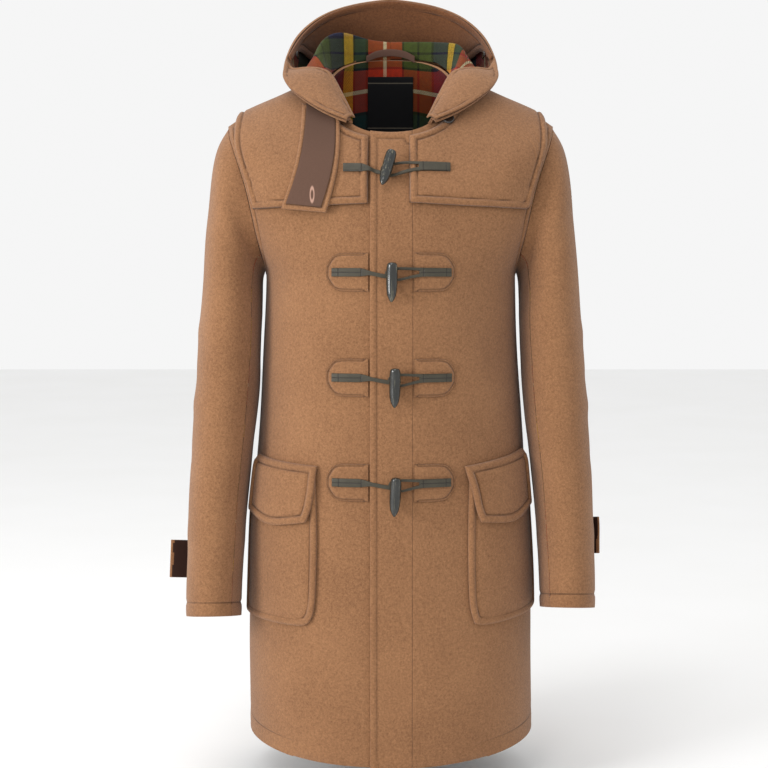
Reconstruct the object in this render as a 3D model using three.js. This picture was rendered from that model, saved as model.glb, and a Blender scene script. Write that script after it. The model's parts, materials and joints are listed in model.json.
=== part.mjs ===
// A hooded duffle coat in heavy double-faced wool, filled out as if worn, with nobody in it.
// Millimetres, +Z up. The coat faces -Y and +X is the wearer's left.
// The origin lies between the two side neck points, where the wearer's shoulders carry the coat.
// Every cloth piece is a wall 3 mm thick whose points come from the tables of sizes below.

import * as THREE from 'three';
import { mergeVertices } from 'three/addons/utils/BufferGeometryUtils.js';

// Cloth and seams
const CLOTH = 3;            // thickness of the double-faced wool
const SEAM_GAP = 0.3;       // clearance between neighbouring pieces
const LAYER_GAP = 0.6;      // clearance under a layer that lies on a panel
const LAYER = CLOTH + LAYER_GAP;
const PATCH_CLOTH = 2;      // shaved cloth under the toggle leathers
const LEATHER = 2.5;
const BINDING = 1.2;        // thin lining cloth of the tabs
const BACKNECK_LABEL = 1;

// The trunk, from hem to neckline. Level 7 is the armpit, 11 the shoulder tip, 15 the neckline.
// sideZ, frontZ and backZ are heights; width is half the width; front and back are depths.
// square is the exponent of the rounded section; dip bends a level from its side to its middle.
const TRUNK = [
  { sideZ: -897, frontZ: -914, backZ: -901, width: 198, front: 165, back: 150, square: 2.3, dip: 2.0 },
  { sideZ: -818, frontZ: -826, backZ: -820, width: 198, front: 164, back: 148, square: 2.3, dip: 2.0 },
  { sideZ: -722, frontZ: -728, backZ: -724, width: 197, front: 162, back: 144, square: 2.3, dip: 2.0 },
  { sideZ: -628, frontZ: -632, backZ: -630, width: 193, front: 160, back: 139, square: 2.3, dip: 2.0 },
  { sideZ: -534, frontZ: -538, backZ: -536, width: 186, front: 158, back: 132, square: 2.3, dip: 2.0 },
  { sideZ: -440, frontZ: -446, backZ: -442, width: 179, front: 156, back: 126, square: 2.3, dip: 1.8 },
  { sideZ: -350, frontZ: -358, backZ: -354, width: 174, front: 153, back: 122, square: 2.3, dip: 1.7 },
  { sideZ: -264, frontZ: -282, backZ: -274, width: 171, front: 150, back: 121, square: 2.3, dip: 1.6 },
  { sideZ: -216, frontZ: -246, backZ: -232, width: 192, front: 147, back: 121, square: 2.3, dip: 1.5 },
  { sideZ: -165, frontZ: -212, backZ: -190, width: 209, front: 141, back: 120, square: 2.3, dip: 1.4 },
  { sideZ: -110, frontZ: -182, backZ: -148, width: 219, front: 133, back: 117, square: 2.3, dip: 1.3 },
  { sideZ: -66, frontZ: -156, backZ: -106, width: 222, front: 124, back: 112, square: 2.3, dip: 1.2 },
  { sideZ: -47, frontZ: -135, backZ: -68, width: 190, front: 115, back: 105, square: 2.3, dip: 1.1 },
  { sideZ: -31, frontZ: -115, backZ: -34, width: 152, front: 105, back: 97, square: 2.35, dip: 0.95 },
  { sideZ: -15, frontZ: -96, backZ: -1, width: 116, front: 95, back: 88, square: 2.4, dip: 0.75 },
  { sideZ: 0, frontZ: -78, backZ: 30, width: 82, front: 86, back: 80, square: 2.5, dip: 0.55 },
];
const RIDGE_ROUNDING = 0.22;
const HEM = 0;
const ARMPIT = 7;
const TIP = 11;
const NECK = 15;
const ARMHOLE_MIDDLE = (ARMPIT + TIP) / 2;
const ARMHOLE_HALF = (TIP - ARMPIT) / 2;
const ARMHOLE_STEPS = 8;
// How far the armhole seam and the yoke's edge stay from the side line, in degrees round the trunk
const ARMHOLE = {
  front: { gap: 28.5, skew: 0.15, yokeGap: 34 },
  back: { gap: 24, skew: 0.1, yokeGap: 31 },
};

// Fronts and band
const BAND = { edge: -27, seam: 28, underlap: 30, blendEnd: 95, blendStart: 34 };

// The one-piece shoulder yoke
const YOKE = { rightInner: -29, leftInner: 23.5, frontZ: -172, cornerZ: -178, backZ: -205, ridgeLevel: 11.55,
  neckLevel: 14.6, gap: 4.7 };

// Sleeves, from the armhole to the cuff. outer and inner are the two edges seen from the front,
// centreY and halfDepth set the section front to back, and lift raises its front and drops its back.
const SLEEVE = [
  { outerX: 222, outerZ: -66, innerX: 171, innerZ: -264, centreY: 0, halfDepth: 66, lift: 0 },
  { outerX: 237, outerZ: -93, innerX: 174, innerZ: -272, centreY: -4, halfDepth: 72, lift: 0 },
  { outerX: 245, outerZ: -133, innerX: 175, innerZ: -284, centreY: -9, halfDepth: 76, lift: 0 },
  { outerX: 250, outerZ: -188, innerX: 175, innerZ: -302, centreY: -15, halfDepth: 77, lift: 0 },
  { outerX: 255, outerZ: -250, innerX: 175, innerZ: -330, centreY: -22, halfDepth: 76, lift: 1 },
  { outerX: 260, outerZ: -322, innerX: 176.5, innerZ: -374, centreY: -31, halfDepth: 74, lift: 2 },
  { outerX: 266, outerZ: -408, innerX: 179.5, innerZ: -438, centreY: -42, halfDepth: 70, lift: 5 },
  { outerX: 272, outerZ: -500, innerX: 188.5, innerZ: -512, centreY: -53, halfDepth: 66, lift: 8 },
  { outerX: 276, outerZ: -592, innerX: 197, innerZ: -596, centreY: -62, halfDepth: 63, lift: 10 },
  { outerX: 278, outerZ: -658, innerX: 201, innerZ: -660, centreY: -68, halfDepth: 61, lift: 11 },
  { outerX: 279, outerZ: -718, innerX: 203, innerZ: -717, centreY: -73, halfDepth: 60, lift: 12 },
];
const SLEEVE_SQUARE = 2.15;
const SLEEVE_STEPS = 18;
const SLEEVE_SEAM = 6;            // armhole steps from the shoulder to each sleeve seam
const RIGHT_SLEEVE_DROP = 12;     // the wearer's right sleeve hangs this much lower
// Soft creases of the sleeves: where they lie along the table, round the arm, and how deep they are
const SLEEVE_FOLDS = [
  { row: 3.2, turn: 120, length: 0.9, reach: 55, depth: 2.5 },
  { row: 5.4, turn: 75, length: 0.6, reach: 60, depth: -2.0 },
  { row: 6.1, turn: 110, length: 0.5, reach: 60, depth: 2.4 },
  { row: 6.7, turn: 285, length: 0.5, reach: 50, depth: 2.2 },
  { row: 8.0, turn: 60, length: 0.6, reach: 70, depth: -1.6 },
];

// The hood lies back round the neck. Each row is a vertical profile at one turn from the front:
// r is the distance from the neck's axis, z the height, from the ridge over the neck to the rim.
// roll lifts the ridge of the wearer's right half.
const HOOD = [
  { turn: 33, ridgeR: 93, ridgeZ: -60, underR: 96, underZ: -58, bottomR: 100, bottomZ: -58,
    outerR: 104, outerZ: -59, rimR: 108, rimZ: -62, roll: 0 },
  { turn: 50, ridgeR: 81, ridgeZ: -36, underR: 92, underZ: -31, bottomR: 103, bottomZ: -34,
    outerR: 113, outerZ: -40, rimR: 123, rimZ: -47, roll: 0 },
  { turn: 73, ridgeR: 82, ridgeZ: -2, underR: 95, underZ: 4, bottomR: 111, bottomZ: 3,
    outerR: 127, outerZ: -4, rimR: 143, rimZ: -16, roll: 0 },
  { turn: 90, ridgeR: 96, ridgeZ: 24, underR: 112, underZ: 16, bottomR: 124, bottomZ: 8,
    outerR: 136, outerZ: 6, rimR: 147, rimZ: 9, roll: 2 },
  { turn: 107, ridgeR: 98, ridgeZ: 48, underR: 112, underZ: 30, bottomR: 124, bottomZ: 6,
    outerR: 138, outerZ: 14, rimR: 144, rimZ: 44, roll: 5 },
  { turn: 123, ridgeR: 95, ridgeZ: 54, underR: 118, underZ: 26, bottomR: 138, bottomZ: -4,
    outerR: 158, outerZ: 12, rimR: 145, rimZ: 72, roll: 14 },
  { turn: 140, ridgeR: 95, ridgeZ: 57, underR: 128, underZ: 4, bottomR: 156, bottomZ: -82,
    outerR: 186, outerZ: -28, rimR: 140, rimZ: 98, roll: 14 },
  { turn: 160, ridgeR: 93, ridgeZ: 57, underR: 133, underZ: -16, bottomR: 160, bottomZ: -136,
    outerR: 202, outerZ: -45, rimR: 131, rimZ: 113, roll: 4 },
  { turn: 180, ridgeR: 93, ridgeZ: 57, underR: 134, underZ: -20, bottomR: 162, bottomZ: -148,
    outerR: 205, outerZ: -50, rimR: 127, rimZ: 119, roll: 0 },
];
const HOOD_STATIONS = ['ridge', 'under', 'bottom', 'outer', 'rim'];
const HOOD_RIM = 5;
const HOOD_SEAM_RISE = 2.6;
const HOOD_TURNS = 14;
const HOOD_STEPS = 14;
const FACING_CLOTH = 2;
const FACING_GAP = 2.9;
const TOP_FACING = { fromRow: 3.6, width: 0.5 };
const LOWER_FACING = { endRow: 3.4, inner: 1.3, endWidth: 0.35 };
const SNAP = { radius: 6, thickness: 2.5, row: 4.1, down: 4.62 };

// Pockets: inner edge and outer edge as half-widths and turns, heights of the corners
const POCKET = { innerTopX: 99, innerLowX: 101, outerTurn: 80, topZ: -524, innerLowZ: -729, outerLowZ: -735,
  bulge: 5, cornerRadius: 10 };
// How much higher each pocket's outer end sits than its inner one, and how far its inner edges lie out
const POCKET_SIDES = {
  right: { rise: 5, bagOut: 0, flapOut: 0 },
  left: { rise: 13, bagOut: 4, flapOut: 6 },
};
const FLAP = { innerTopX: 96, innerLowX: 106, outerTurn: 71, topZ: -514, innerLowZ: -590, outerLowZ: -590,
  stand: 1.5, waist: 2, gap: 0.7, corner: 2 };

// Toggle fastenings, from the neck down, on the middle line of the band
const TOGGLES = [
  { z: -127, x: -5, drop: 5, tilt: -15, strapOuter: -62, patches: false },
  { z: -259, x: 1, drop: 13, tilt: -1, strapOuter: -76, patches: true },
  { z: -396, x: 5, drop: 12, tilt: -1, strapOuter: -76, patches: true },
  { z: -533.5, x: 5.5, drop: 16, tilt: -3, strapOuter: -76, patches: true },
];
// A toggle is cut flat and thick at its top and tapers to a point; its low end hangs under its strap
const TOGGLE = { length: 50, radius: 8, bow: 3, top: 0.86, tip: 0.24 };
const STRAP = { narrow: -38, end: 3, half: 5.5, cord: 2.6, cordThick: 2, sag: 6 };
const LOOP = { outer: 77, flat: 41, end: -9, half: 5.5, cordOut: 9, cordIn: 5.6, slit: 1.8, sag: 3 };
const PATCH = { inner: 29, outer: 84, half: 25, corner: 22 };

// Throat tab, hanging from under the rim on the wearer's right, and its button on the left
const THROAT_TAB = { topOuterX: -116, topInnerX: -66, topOuterZ: -44, topInnerZ: -64, lowOuterX: -139,
  lowInnerX: -83, lowOuterZ: -178, lowInnerZ: -184, bow: 6, border: 6, gap: 1 };
const BUTTON = { radius: 9, thickness: 4, x: 74, z: -64 };

// Cuff tabs wrap the back of each cuff and their free ends stand off
const CUFF_TABS = [
  { side: -1, flare: 26, topRow: 8.36, lowRow: 9.16 },
  { side: 1, flare: 10, topRow: 8.05, lowRow: 8.8 },
];
const CUFF_TAB = { startTurn: 235, leaveTurn: 312, endTurn: 338, steps: 11, gap: 1.2 };
const CUFF_BUTTON = { radius: 8, thickness: 3.5, turn: 290 };

// Label and hanger inside the back neck
const LABEL = { half: 32.5, topZ: 8, lowZ: -74, gap: 1.2 };
const HANGER = { half: 34, endRise: 3, rise: 10, bow: 4, width: 10, thick: 2.5 };

const COLOURS = {
  wool: 0xb4834f, woolShade: 0x9a6a45, woolDark: 0x7c5236, leather: 0x5f5242, horn: 0x3a3d38,
  brown: 0x5d4639, black: 0x141414, button: 0x2b211b,
};

const radians = THREE.MathUtils.degToRad;
const degrees = THREE.MathUtils.radToDeg;
const coat = new THREE.Group();

function material(colour, roughness = 0.95, metalness = 0) {
  return new THREE.MeshStandardMaterial({ color: colour, roughness, metalness });
}

const wool = material(COLOURS.wool);
const woolShade = material(COLOURS.woolShade);
const woolDark = material(COLOURS.woolDark);
const leather = material(COLOURS.leather, 0.6);
const horn = material(COLOURS.horn, 0.3);
const brown = material(COLOURS.brown, 0.8);
const black = material(COLOURS.black, 0.7);
const buttonHorn = material(COLOURS.button, 0.35);

function addPiece(name, geometry, finish) {
  const mesh = new THREE.Mesh(geometry, finish);
  mesh.name = name;
  coat.add(mesh);
}

// A smooth value of one column of a table at a row that need not be whole
function columnAt(table, column, row) {
  const last = table.length - 1;
  const clamped = Math.min(Math.max(row, 0), last);
  const base = Math.min(Math.floor(clamped), last - 1);
  const t = clamped - base;
  const p1 = table[base][column];
  const p2 = table[base + 1][column];
  const p0 = base > 0 ? table[base - 1][column] : 2 * p1 - p2;
  const p3 = base < last - 1 ? table[base + 2][column] : 2 * p2 - p1;
  const a = 2 * p1;
  const b = p2 - p0;
  const c = 2 * p0 - 5 * p1 + 4 * p2 - p3;
  const d = 3 * p1 - p0 - 3 * p2 + p3;
  return 0.5 * (a + (b + (c + d * t) * t) * t);
}

function smoothStep(from, to, value) {
  return THREE.MathUtils.smoothstep(value, from, to);
}

function signedPower(value, exponent) {
  return Math.sign(value) * Math.abs(value) ** exponent;
}

// How a level bends from its side to its middle, rounded where it crosses the shoulder's ridge
function dipShare(cosine, exponent) {
  const soft = (value) => (value * value + RIDGE_ROUNDING ** 2) ** (exponent / 2);
  return (soft(cosine) - soft(0)) / (soft(1) - soft(0));
}

// The trunk's outer surface: turn is 0 at the front, +90 at the wearer's left side, 180 at the back
function trunkPoint(turn, level) {
  const bend = 2 / columnAt(TRUNK, 'square', level);
  const sine = Math.sin(radians(turn));
  const cosine = Math.cos(radians(turn));
  const isFront = cosine > 0;
  const depth = columnAt(TRUNK, isFront ? 'front' : 'back', level);
  const side = columnAt(TRUNK, 'sideZ', level);
  const middle = columnAt(TRUNK, isFront ? 'frontZ' : 'backZ', level);
  const x = columnAt(TRUNK, 'width', level) * signedPower(sine, bend);
  const y = -depth * signedPower(cosine, bend);
  const z = side + (middle - side) * dipShare(cosine, columnAt(TRUNK, 'dip', level));
  return new THREE.Vector3(x, y, z);
}

function surfaceNormal(pointAt, u, v, stepU, stepV) {
  const alongU = pointAt(u + stepU, v).sub(pointAt(u - stepU, v));
  const alongV = pointAt(u, v + stepV).sub(pointAt(u, v - stepV));
  return alongU.cross(alongV).normalize();
}

function trunkNormal(turn, level) {
  const safeLevel = Math.min(Math.max(level, 0.02), NECK - 0.02);
  const quarter = Math.round(turn / 90) * 90;
  const safeTurn = Math.abs(turn - quarter) < 1.5 ? quarter : turn;
  return surfaceNormal(trunkPoint, safeTurn, safeLevel, 1.2, 0.02);
}

function onTrunk(turn, level, lift) {
  return trunkPoint(turn, level).addScaledVector(trunkNormal(turn, level), lift);
}

// The turn at which a level has a given x on the front (or on the back)
function turnAtX(x, level, onBack = false) {
  const ratio = Math.min(Math.abs(x) / columnAt(TRUNK, 'width', level), 1);
  const turn = degrees(Math.asin(ratio ** (columnAt(TRUNK, 'square', level) / 2)));
  return Math.sign(x) * (onBack ? 180 - turn : turn);
}

// The level at which the surface at a given turn has a given height
function levelAtZ(turnOfLevel, z) {
  let low = HEM;
  let high = NECK;
  for (let i = 0; i < 40; i += 1) {
    const middle = (low + high) / 2;
    if (trunkPoint(turnOfLevel(middle), middle).z < z) low = middle;
    else high = middle;
  }
  return (low + high) / 2;
}

function atXZ(x, z, lift, onBack = false) {
  const turnOf = (level) => turnAtX(x, level, onBack);
  const level = levelAtZ(turnOf, z);
  return onTrunk(turnOf(level), level, lift);
}

function atTurnZ(turn, z, lift) {
  return onTrunk(turn, levelAtZ(() => turn, z), lift);
}

// Extra lift of the wearer's left front where it overlaps the right one
function overlapLift(x) {
  return LAYER * (1 - smoothStep(BAND.blendStart, BAND.blendEnd, x));
}

// How far the armhole seam lies from the side line at a level
function armholeGap(level, half) {
  const along = (level - ARMHOLE_MIDDLE) / ARMHOLE_HALF;
  if (Math.abs(along) >= 1) return 0;
  return half.gap * Math.sqrt(1 - along * along) * (1 + half.skew * along);
}

// Levels of a panel: even rows below the armpit, rows round the armhole, even rows on the shoulder
function panelLevels() {
  const levels = [];
  for (let i = 0; i < 7; i += 1) levels.push(HEM + (ARMPIT - HEM) * (i / 7));
  for (let i = 0; i <= ARMHOLE_STEPS; i += 1) {
    levels.push(ARMHOLE_MIDDLE - ARMHOLE_HALF * Math.cos((Math.PI * i) / ARMHOLE_STEPS));
  }
  for (let i = 1; i <= 5; i += 1) levels.push(TIP + (NECK - TIP) * (i / 5));
  return levels;
}

// A closed wall between two grids of points with the same rows and columns
function wallBetween(outer, inner) {
  const rows = outer.length;
  const columns = outer[0].length;
  const positions = [];
  const indices = [];
  for (const grid of [outer, inner]) {
    for (const row of grid) for (const p of row) positions.push(p.x, p.y, p.z);
  }
  const outerAt = (r, c) => r * columns + c;
  const innerAt = (r, c) => rows * columns + r * columns + c;
  const quad = (a, b, c, d) => indices.push(a, b, c, a, c, d);
  for (let r = 0; r < rows - 1; r += 1) {
    for (let c = 0; c < columns - 1; c += 1) {
      quad(outerAt(r, c), outerAt(r, c + 1), outerAt(r + 1, c + 1), outerAt(r + 1, c));
      quad(innerAt(r, c), innerAt(r + 1, c), innerAt(r + 1, c + 1), innerAt(r, c + 1));
    }
  }
  for (let c = 0; c < columns - 1; c += 1) {
    quad(outerAt(0, c + 1), outerAt(0, c), innerAt(0, c), innerAt(0, c + 1));
    quad(outerAt(rows - 1, c), outerAt(rows - 1, c + 1), innerAt(rows - 1, c + 1), innerAt(rows - 1, c));
  }
  for (let r = 0; r < rows - 1; r += 1) {
    quad(outerAt(r, 0), outerAt(r + 1, 0), innerAt(r + 1, 0), innerAt(r, 0));
    quad(outerAt(r + 1, columns - 1), outerAt(r, columns - 1), innerAt(r, columns - 1),
      innerAt(r + 1, columns - 1));
  }
  const geometry = new THREE.BufferGeometry();
  geometry.setAttribute('position', new THREE.Float32BufferAttribute(positions, 3));
  geometry.setIndex(indices);
  return outward(geometry);
}

// The same between two grids whose columns close on themselves, with a rim round each end
function closedWall(outer, inner) {
  const rows = outer.length;
  const columns = outer[0].length;
  const positions = [];
  const indices = [];
  for (const points of [outer, inner]) {
    for (const row of points) for (const p of row) positions.push(p.x, p.y, p.z);
  }
  const at = (face, r, c) => (face * rows + r) * columns + (c % columns);
  const quad = (a, b, c, d) => indices.push(a, b, c, a, c, d);
  for (let c = 0; c < columns; c += 1) {
    for (let r = 0; r < rows - 1; r += 1) {
      quad(at(0, r, c), at(0, r, c + 1), at(0, r + 1, c + 1), at(0, r + 1, c));
      quad(at(1, r, c), at(1, r + 1, c), at(1, r + 1, c + 1), at(1, r, c + 1));
    }
    quad(at(0, 0, c + 1), at(0, 0, c), at(1, 0, c), at(1, 0, c + 1));
    quad(at(0, rows - 1, c), at(0, rows - 1, c + 1), at(1, rows - 1, c + 1), at(1, rows - 1, c));
  }
  const geometry = new THREE.BufferGeometry();
  geometry.setAttribute('position', new THREE.Float32BufferAttribute(positions, 3));
  geometry.setIndex(indices);
  return outward(geometry);
}

// Turns a closed geometry's faces outwards if its signed volume is negative
function outward(geometry) {
  const position = geometry.getAttribute('position');
  const index = geometry.getIndex().array;
  const a = new THREE.Vector3();
  const b = new THREE.Vector3();
  const c = new THREE.Vector3();
  let volume = 0;
  for (let i = 0; i < index.length; i += 3) {
    a.fromBufferAttribute(position, index[i]);
    b.fromBufferAttribute(position, index[i + 1]);
    c.fromBufferAttribute(position, index[i + 2]);
    volume += a.dot(b.cross(c));
  }
  if (volume < 0) {
    for (let i = 0; i < index.length; i += 3) [index[i + 1], index[i + 2]] = [index[i + 2], index[i + 1]];
  }
  geometry.computeVertexNormals();
  return geometry;
}

function grid(rows, columns, pointAt) {
  const result = [];
  for (let r = 0; r <= rows; r += 1) {
    const row = [];
    for (let c = 0; c <= columns; c += 1) row.push(pointAt(r / rows, c / columns));
    result.push(row);
  }
  return result;
}

// A wall whose outer and inner faces are the same places at two lifts
function layer(rows, columns, placeAt, outerLift, innerLift) {
  const outer = grid(rows, columns, (v, u) => placeAt(v, u, outerLift));
  const inner = grid(rows, columns, (v, u) => placeAt(v, u, innerLift));
  return wallBetween(outer, inner);
}

// A trunk panel between two turns at each level
function trunkPanel(columns, turnsAt, liftAt) {
  const levels = panelLevels();
  const face = (depth) => levels.map((level) => {
    const [from, to] = turnsAt(level);
    const row = [];
    for (let c = 0; c <= columns; c += 1) {
      const turn = from + (to - from) * (c / columns);
      row.push(onTrunk(turn, level, liftAt(trunkPoint(turn, level).x) - depth));
    }
    return row;
  });
  return wallBetween(face(0), face(CLOTH));
}

// The trim of a seam edge in degrees, so that neighbouring panels stay a seam gap apart
function trimTurn(level) {
  return degrees(SEAM_GAP / 2 / Math.max(columnAt(TRUNK, 'front', level), 60)) * 1.4;
}

function buildTrunk() {
  addPiece('front_right', trunkPanel(10, (level) => [
    turnAtX(BAND.underlap, level),
    -(90 - armholeGap(level, ARMHOLE.front) - trimTurn(level)),
  ], () => 0), wool);
  addPiece('front_left', trunkPanel(10, (level) => [
    turnAtX(BAND.seam + SEAM_GAP, level),
    90 - armholeGap(level, ARMHOLE.front) - trimTurn(level),
  ], overlapLift), wool);
  addPiece('front_band', trunkPanel(3, (level) => [
    turnAtX(BAND.edge, level),
    turnAtX(BAND.seam, level),
  ], () => LAYER), woolShade);
  addPiece('back', trunkPanel(16, (level) => [
    90 + armholeGap(level, ARMHOLE.back) + trimTurn(level),
    270 - armholeGap(level, ARMHOLE.back) - trimTurn(level),
  ], () => 0), wool);
}

// One edge point of the yoke: its turn and level
function yokeGap(level, half) {
  const along = (level - ARMPIT) / (YOKE.ridgeLevel - ARMPIT);
  return half.yokeGap * Math.sqrt(Math.max(1 - Math.max(along * 2 - 1, 0) ** 2, 0));
}

function yokeEdge(side) {
  const innerX = side > 0 ? YOKE.leftInner : YOKE.rightInner;
  const cornerLevel = levelAtZ((level) => 90 - yokeGap(level, ARMHOLE.front), YOKE.cornerZ);
  const cornerTurn = 90 - yokeGap(cornerLevel, ARMHOLE.front);
  const cornerX = trunkPoint(cornerTurn, cornerLevel).x;
  const backLevel = levelAtZ((level) => 90 + yokeGap(level, ARMHOLE.back), YOKE.backZ + 6);
  const backTurn = 90 + yokeGap(backLevel, ARMHOLE.back);
  const edge = [];
  for (let i = 0; i <= 8; i += 1) {
    const t = i / 8;
    const x = Math.abs(innerX) + (cornerX - Math.abs(innerX)) * t;
    const z = YOKE.frontZ + (YOKE.cornerZ - YOKE.frontZ) * t;
    const level = levelAtZ((l) => turnAtX(x, l), z);
    edge.push({ turn: turnAtX(x, level), level });
  }
  for (let i = 1; i <= 6; i += 1) {
    const level = cornerLevel + (YOKE.ridgeLevel - cornerLevel) * Math.sin((i / 6) * Math.PI / 2);
    edge.push({ turn: 90 - yokeGap(level, ARMHOLE.front), level });
  }
  for (let i = 5; i >= 0; i -= 1) {
    const level = backLevel + (YOKE.ridgeLevel - backLevel) * Math.sin((i / 6) * Math.PI / 2);
    edge.push({ turn: 90 + yokeGap(level, ARMHOLE.back), level });
  }
  for (let i = 1; i <= 6; i += 1) {
    const turn = backTurn + (180 - backTurn) * (i / 6);
    edge.push({ turn, level: levelAtZ(() => turn, YOKE.backZ) });
  }
  return edge.map((point) => ({ turn: point.turn * side, level: point.level }));
}

// Carries a value from one list of stops to another
function alongStops(value, from, to) {
  let i = 0;
  while (i < from.length - 2 && value > from[i + 1]) i += 1;
  return to[i] + (to[i + 1] - to[i]) * ((value - from[i]) / (from[i + 1] - from[i]));
}

function buildYoke() {
  const left = yokeEdge(1);
  const right = yokeEdge(-1).map((point) => ({ turn: point.turn + 360, level: point.level }));
  const edge = [...left, ...right.slice(0, -1).reverse()];
  const lastTurn = edge[edge.length - 1].turn;
  const neckFrom = turnAtX(YOKE.leftInner, YOKE.neckLevel);
  const neckTo = 360 + turnAtX(YOKE.rightInner, YOKE.neckLevel);
  const rows = 9;
  const face = (lift) => {
    const result = [];
    for (let r = 0; r <= rows; r += 1) {
      const t = r / rows;
      result.push(edge.map((point) => {
        const isStart = point.turn === edge[0].turn;
        const isEnd = point.turn === lastTurn;
        const neckTurn = alongStops(point.turn, [edge[0].turn, 90, 270, lastTurn], [neckFrom, 90, 270, neckTo]);
        const level = point.level + (YOKE.neckLevel - point.level) * t;
        let turn = point.turn + (neckTurn - point.turn) * t;
        if (isStart) turn = turnAtX(YOKE.leftInner, level);
        if (isEnd) turn = 360 + turnAtX(YOKE.rightInner, level);
        const flat = trunkPoint(turn, level);
        const extra = flat.y < 0 && flat.x > 0 ? overlapLift(flat.x) : 0;
        return onTrunk(turn, level, lift + extra);
      }));
    }
    return result;
  };
  addPiece('shoulder_yoke', wallBetween(face(YOKE.gap + CLOTH), face(YOKE.gap)), wool);
}

// A sleeve's section: turn is 0 on the outer edge, 90 at the front, 180 at the inner edge
function sleeveSection(turn, row) {
  const outer = new THREE.Vector3(columnAt(SLEEVE, 'outerX', row), 0, columnAt(SLEEVE, 'outerZ', row));
  const inner = new THREE.Vector3(columnAt(SLEEVE, 'innerX', row), 0, columnAt(SLEEVE, 'innerZ', row));
  const centre = outer.clone().add(inner).multiplyScalar(0.5);
  const half = outer.clone().sub(inner).multiplyScalar(0.5);
  const bend = 2 / SLEEVE_SQUARE;
  const across = signedPower(Math.cos(radians(turn)), bend);
  const forward = signedPower(Math.sin(radians(turn)), bend);
  const point = centre.addScaledVector(half, across);
  point.y = columnAt(SLEEVE, 'centreY', row) - columnAt(SLEEVE, 'halfDepth', row) * forward;
  point.z += columnAt(SLEEVE, 'lift', row) * forward;
  return point;
}

function armholePoint(turn) {
  const level = ARMHOLE_MIDDLE + ARMHOLE_HALF * Math.cos(radians(turn));
  const isFront = turn <= 180;
  const half = isFront ? ARMHOLE.front : ARMHOLE.back;
  const gap = armholeGap(level, half);
  const trunkTurn = isFront ? 90 - gap : 90 + gap;
  return { point: trunkPoint(trunkTurn, level), normal: trunkNormal(trunkTurn, level) };
}

function sleeveFold(turn, row) {
  let depth = 0;
  for (const fold of SLEEVE_FOLDS) {
    const away = (row - fold.row) / fold.length;
    const round = (((turn - fold.turn + 540) % 360) - 180) / fold.reach;
    depth += fold.depth * Math.exp(-away * away * 3 - round * round * 2);
  }
  return depth;
}

function sleevePoint(turn, row) {
  const point = sleeveSection(turn, row);
  const fade = Math.max(1 - row / 1.6, 0) ** 2;
  if (fade > 0) {
    const seam = armholePoint(((turn % 360) + 360) % 360);
    const start = seam.point.clone().addScaledVector(seam.normal, SEAM_GAP * 1.6);
    point.addScaledVector(start.sub(sleeveSection(turn, 0)), fade);
  }
  return point;
}

function sleeveNormal(turn, row) {
  const last = SLEEVE.length - 1;
  const safeRow = Math.min(Math.max(row, 0.03), last - 0.03);
  return surfaceNormal(sleevePoint, turn, safeRow, 2, 0.03);
}

function onSleeve(turn, row, lift) {
  const fold = row > 0.5 ? sleeveFold(((turn % 360) + 360) % 360, row) : 0;
  return sleevePoint(turn, row).addScaledVector(sleeveNormal(turn, row), lift - fold);
}

// The sleeve's first row leans its wall so that it stays on its own side of the armhole seam
function sleeveStart(turn, depth) {
  const seam = armholePoint(((turn % 360) + 360) % 360);
  const travel = sleevePoint(turn, 0.25).sub(sleevePoint(turn, 0)).normalize();
  const away = travel.clone().addScaledVector(seam.normal, -travel.dot(seam.normal));
  if (away.length() > 0.2) away.normalize();
  else away.set(0, 0, 0);
  const inward = sleeveNormal(turn, 0).negate();
  const against = Math.min(inward.dot(away), 0);
  inward.addScaledVector(away, -against).normalize();
  return sleevePoint(turn, 0).addScaledVector(away, SEAM_GAP + depth * 0.2).addScaledVector(inward, depth);
}

function placed(point, side) {
  return new THREE.Vector3(point.x * side, point.y, point.z);
}

function sleeveWall(side, fromStep, toStep) {
  const lastRow = SLEEVE.length - 1;
  const drop = side < 0 ? RIGHT_SLEEVE_DROP : 0;
  const step = 180 / ARMHOLE_STEPS;
  const seamTrim = 0.4;
  const face = (depth) => {
    const rows = [];
    for (let r = 0; r <= SLEEVE_STEPS; r += 1) {
      const row = lastRow * (r / SLEEVE_STEPS) ** 1.15;
      const points = [];
      for (let s = fromStep; s <= toStep; s += 1) {
        let turn = s * step;
        if (s === fromStep) turn += seamTrim;
        if (s === toStep) turn -= seamTrim;
        const point = r === 0 ? sleeveStart(turn, depth) : onSleeve(turn, row, -depth);
        point.z -= drop * smoothStep(3, lastRow, row);
        points.push(placed(point, side));
      }
      rows.push(points);
    }
    return rows;
  };
  return wallBetween(face(0), face(CLOTH));
}

function buildSleeves() {
  for (const [word, side] of [['right', -1], ['left', 1]]) {
    addPiece(`sleeve_upper_${word}`, sleeveWall(side, -SLEEVE_SEAM, SLEEVE_SEAM), wool);
    addPiece(`sleeve_under_${word}`, sleeveWall(side, SLEEVE_SEAM, 16 - SLEEVE_SEAM), woolShade);
  }
}

// The neckline's outer edge in the direction of a turn about the neck's axis
function neckSeam(turn) {
  let low = 0;
  let high = 180;
  for (let i = 0; i < 30; i += 1) {
    const middle = (low + high) / 2;
    const edge = trunkPoint(middle, NECK);
    if (degrees(Math.atan2(edge.x, -edge.y)) < turn) low = middle;
    else high = middle;
  }
  return trunkPoint((low + high) / 2, NECK);
}

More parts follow.
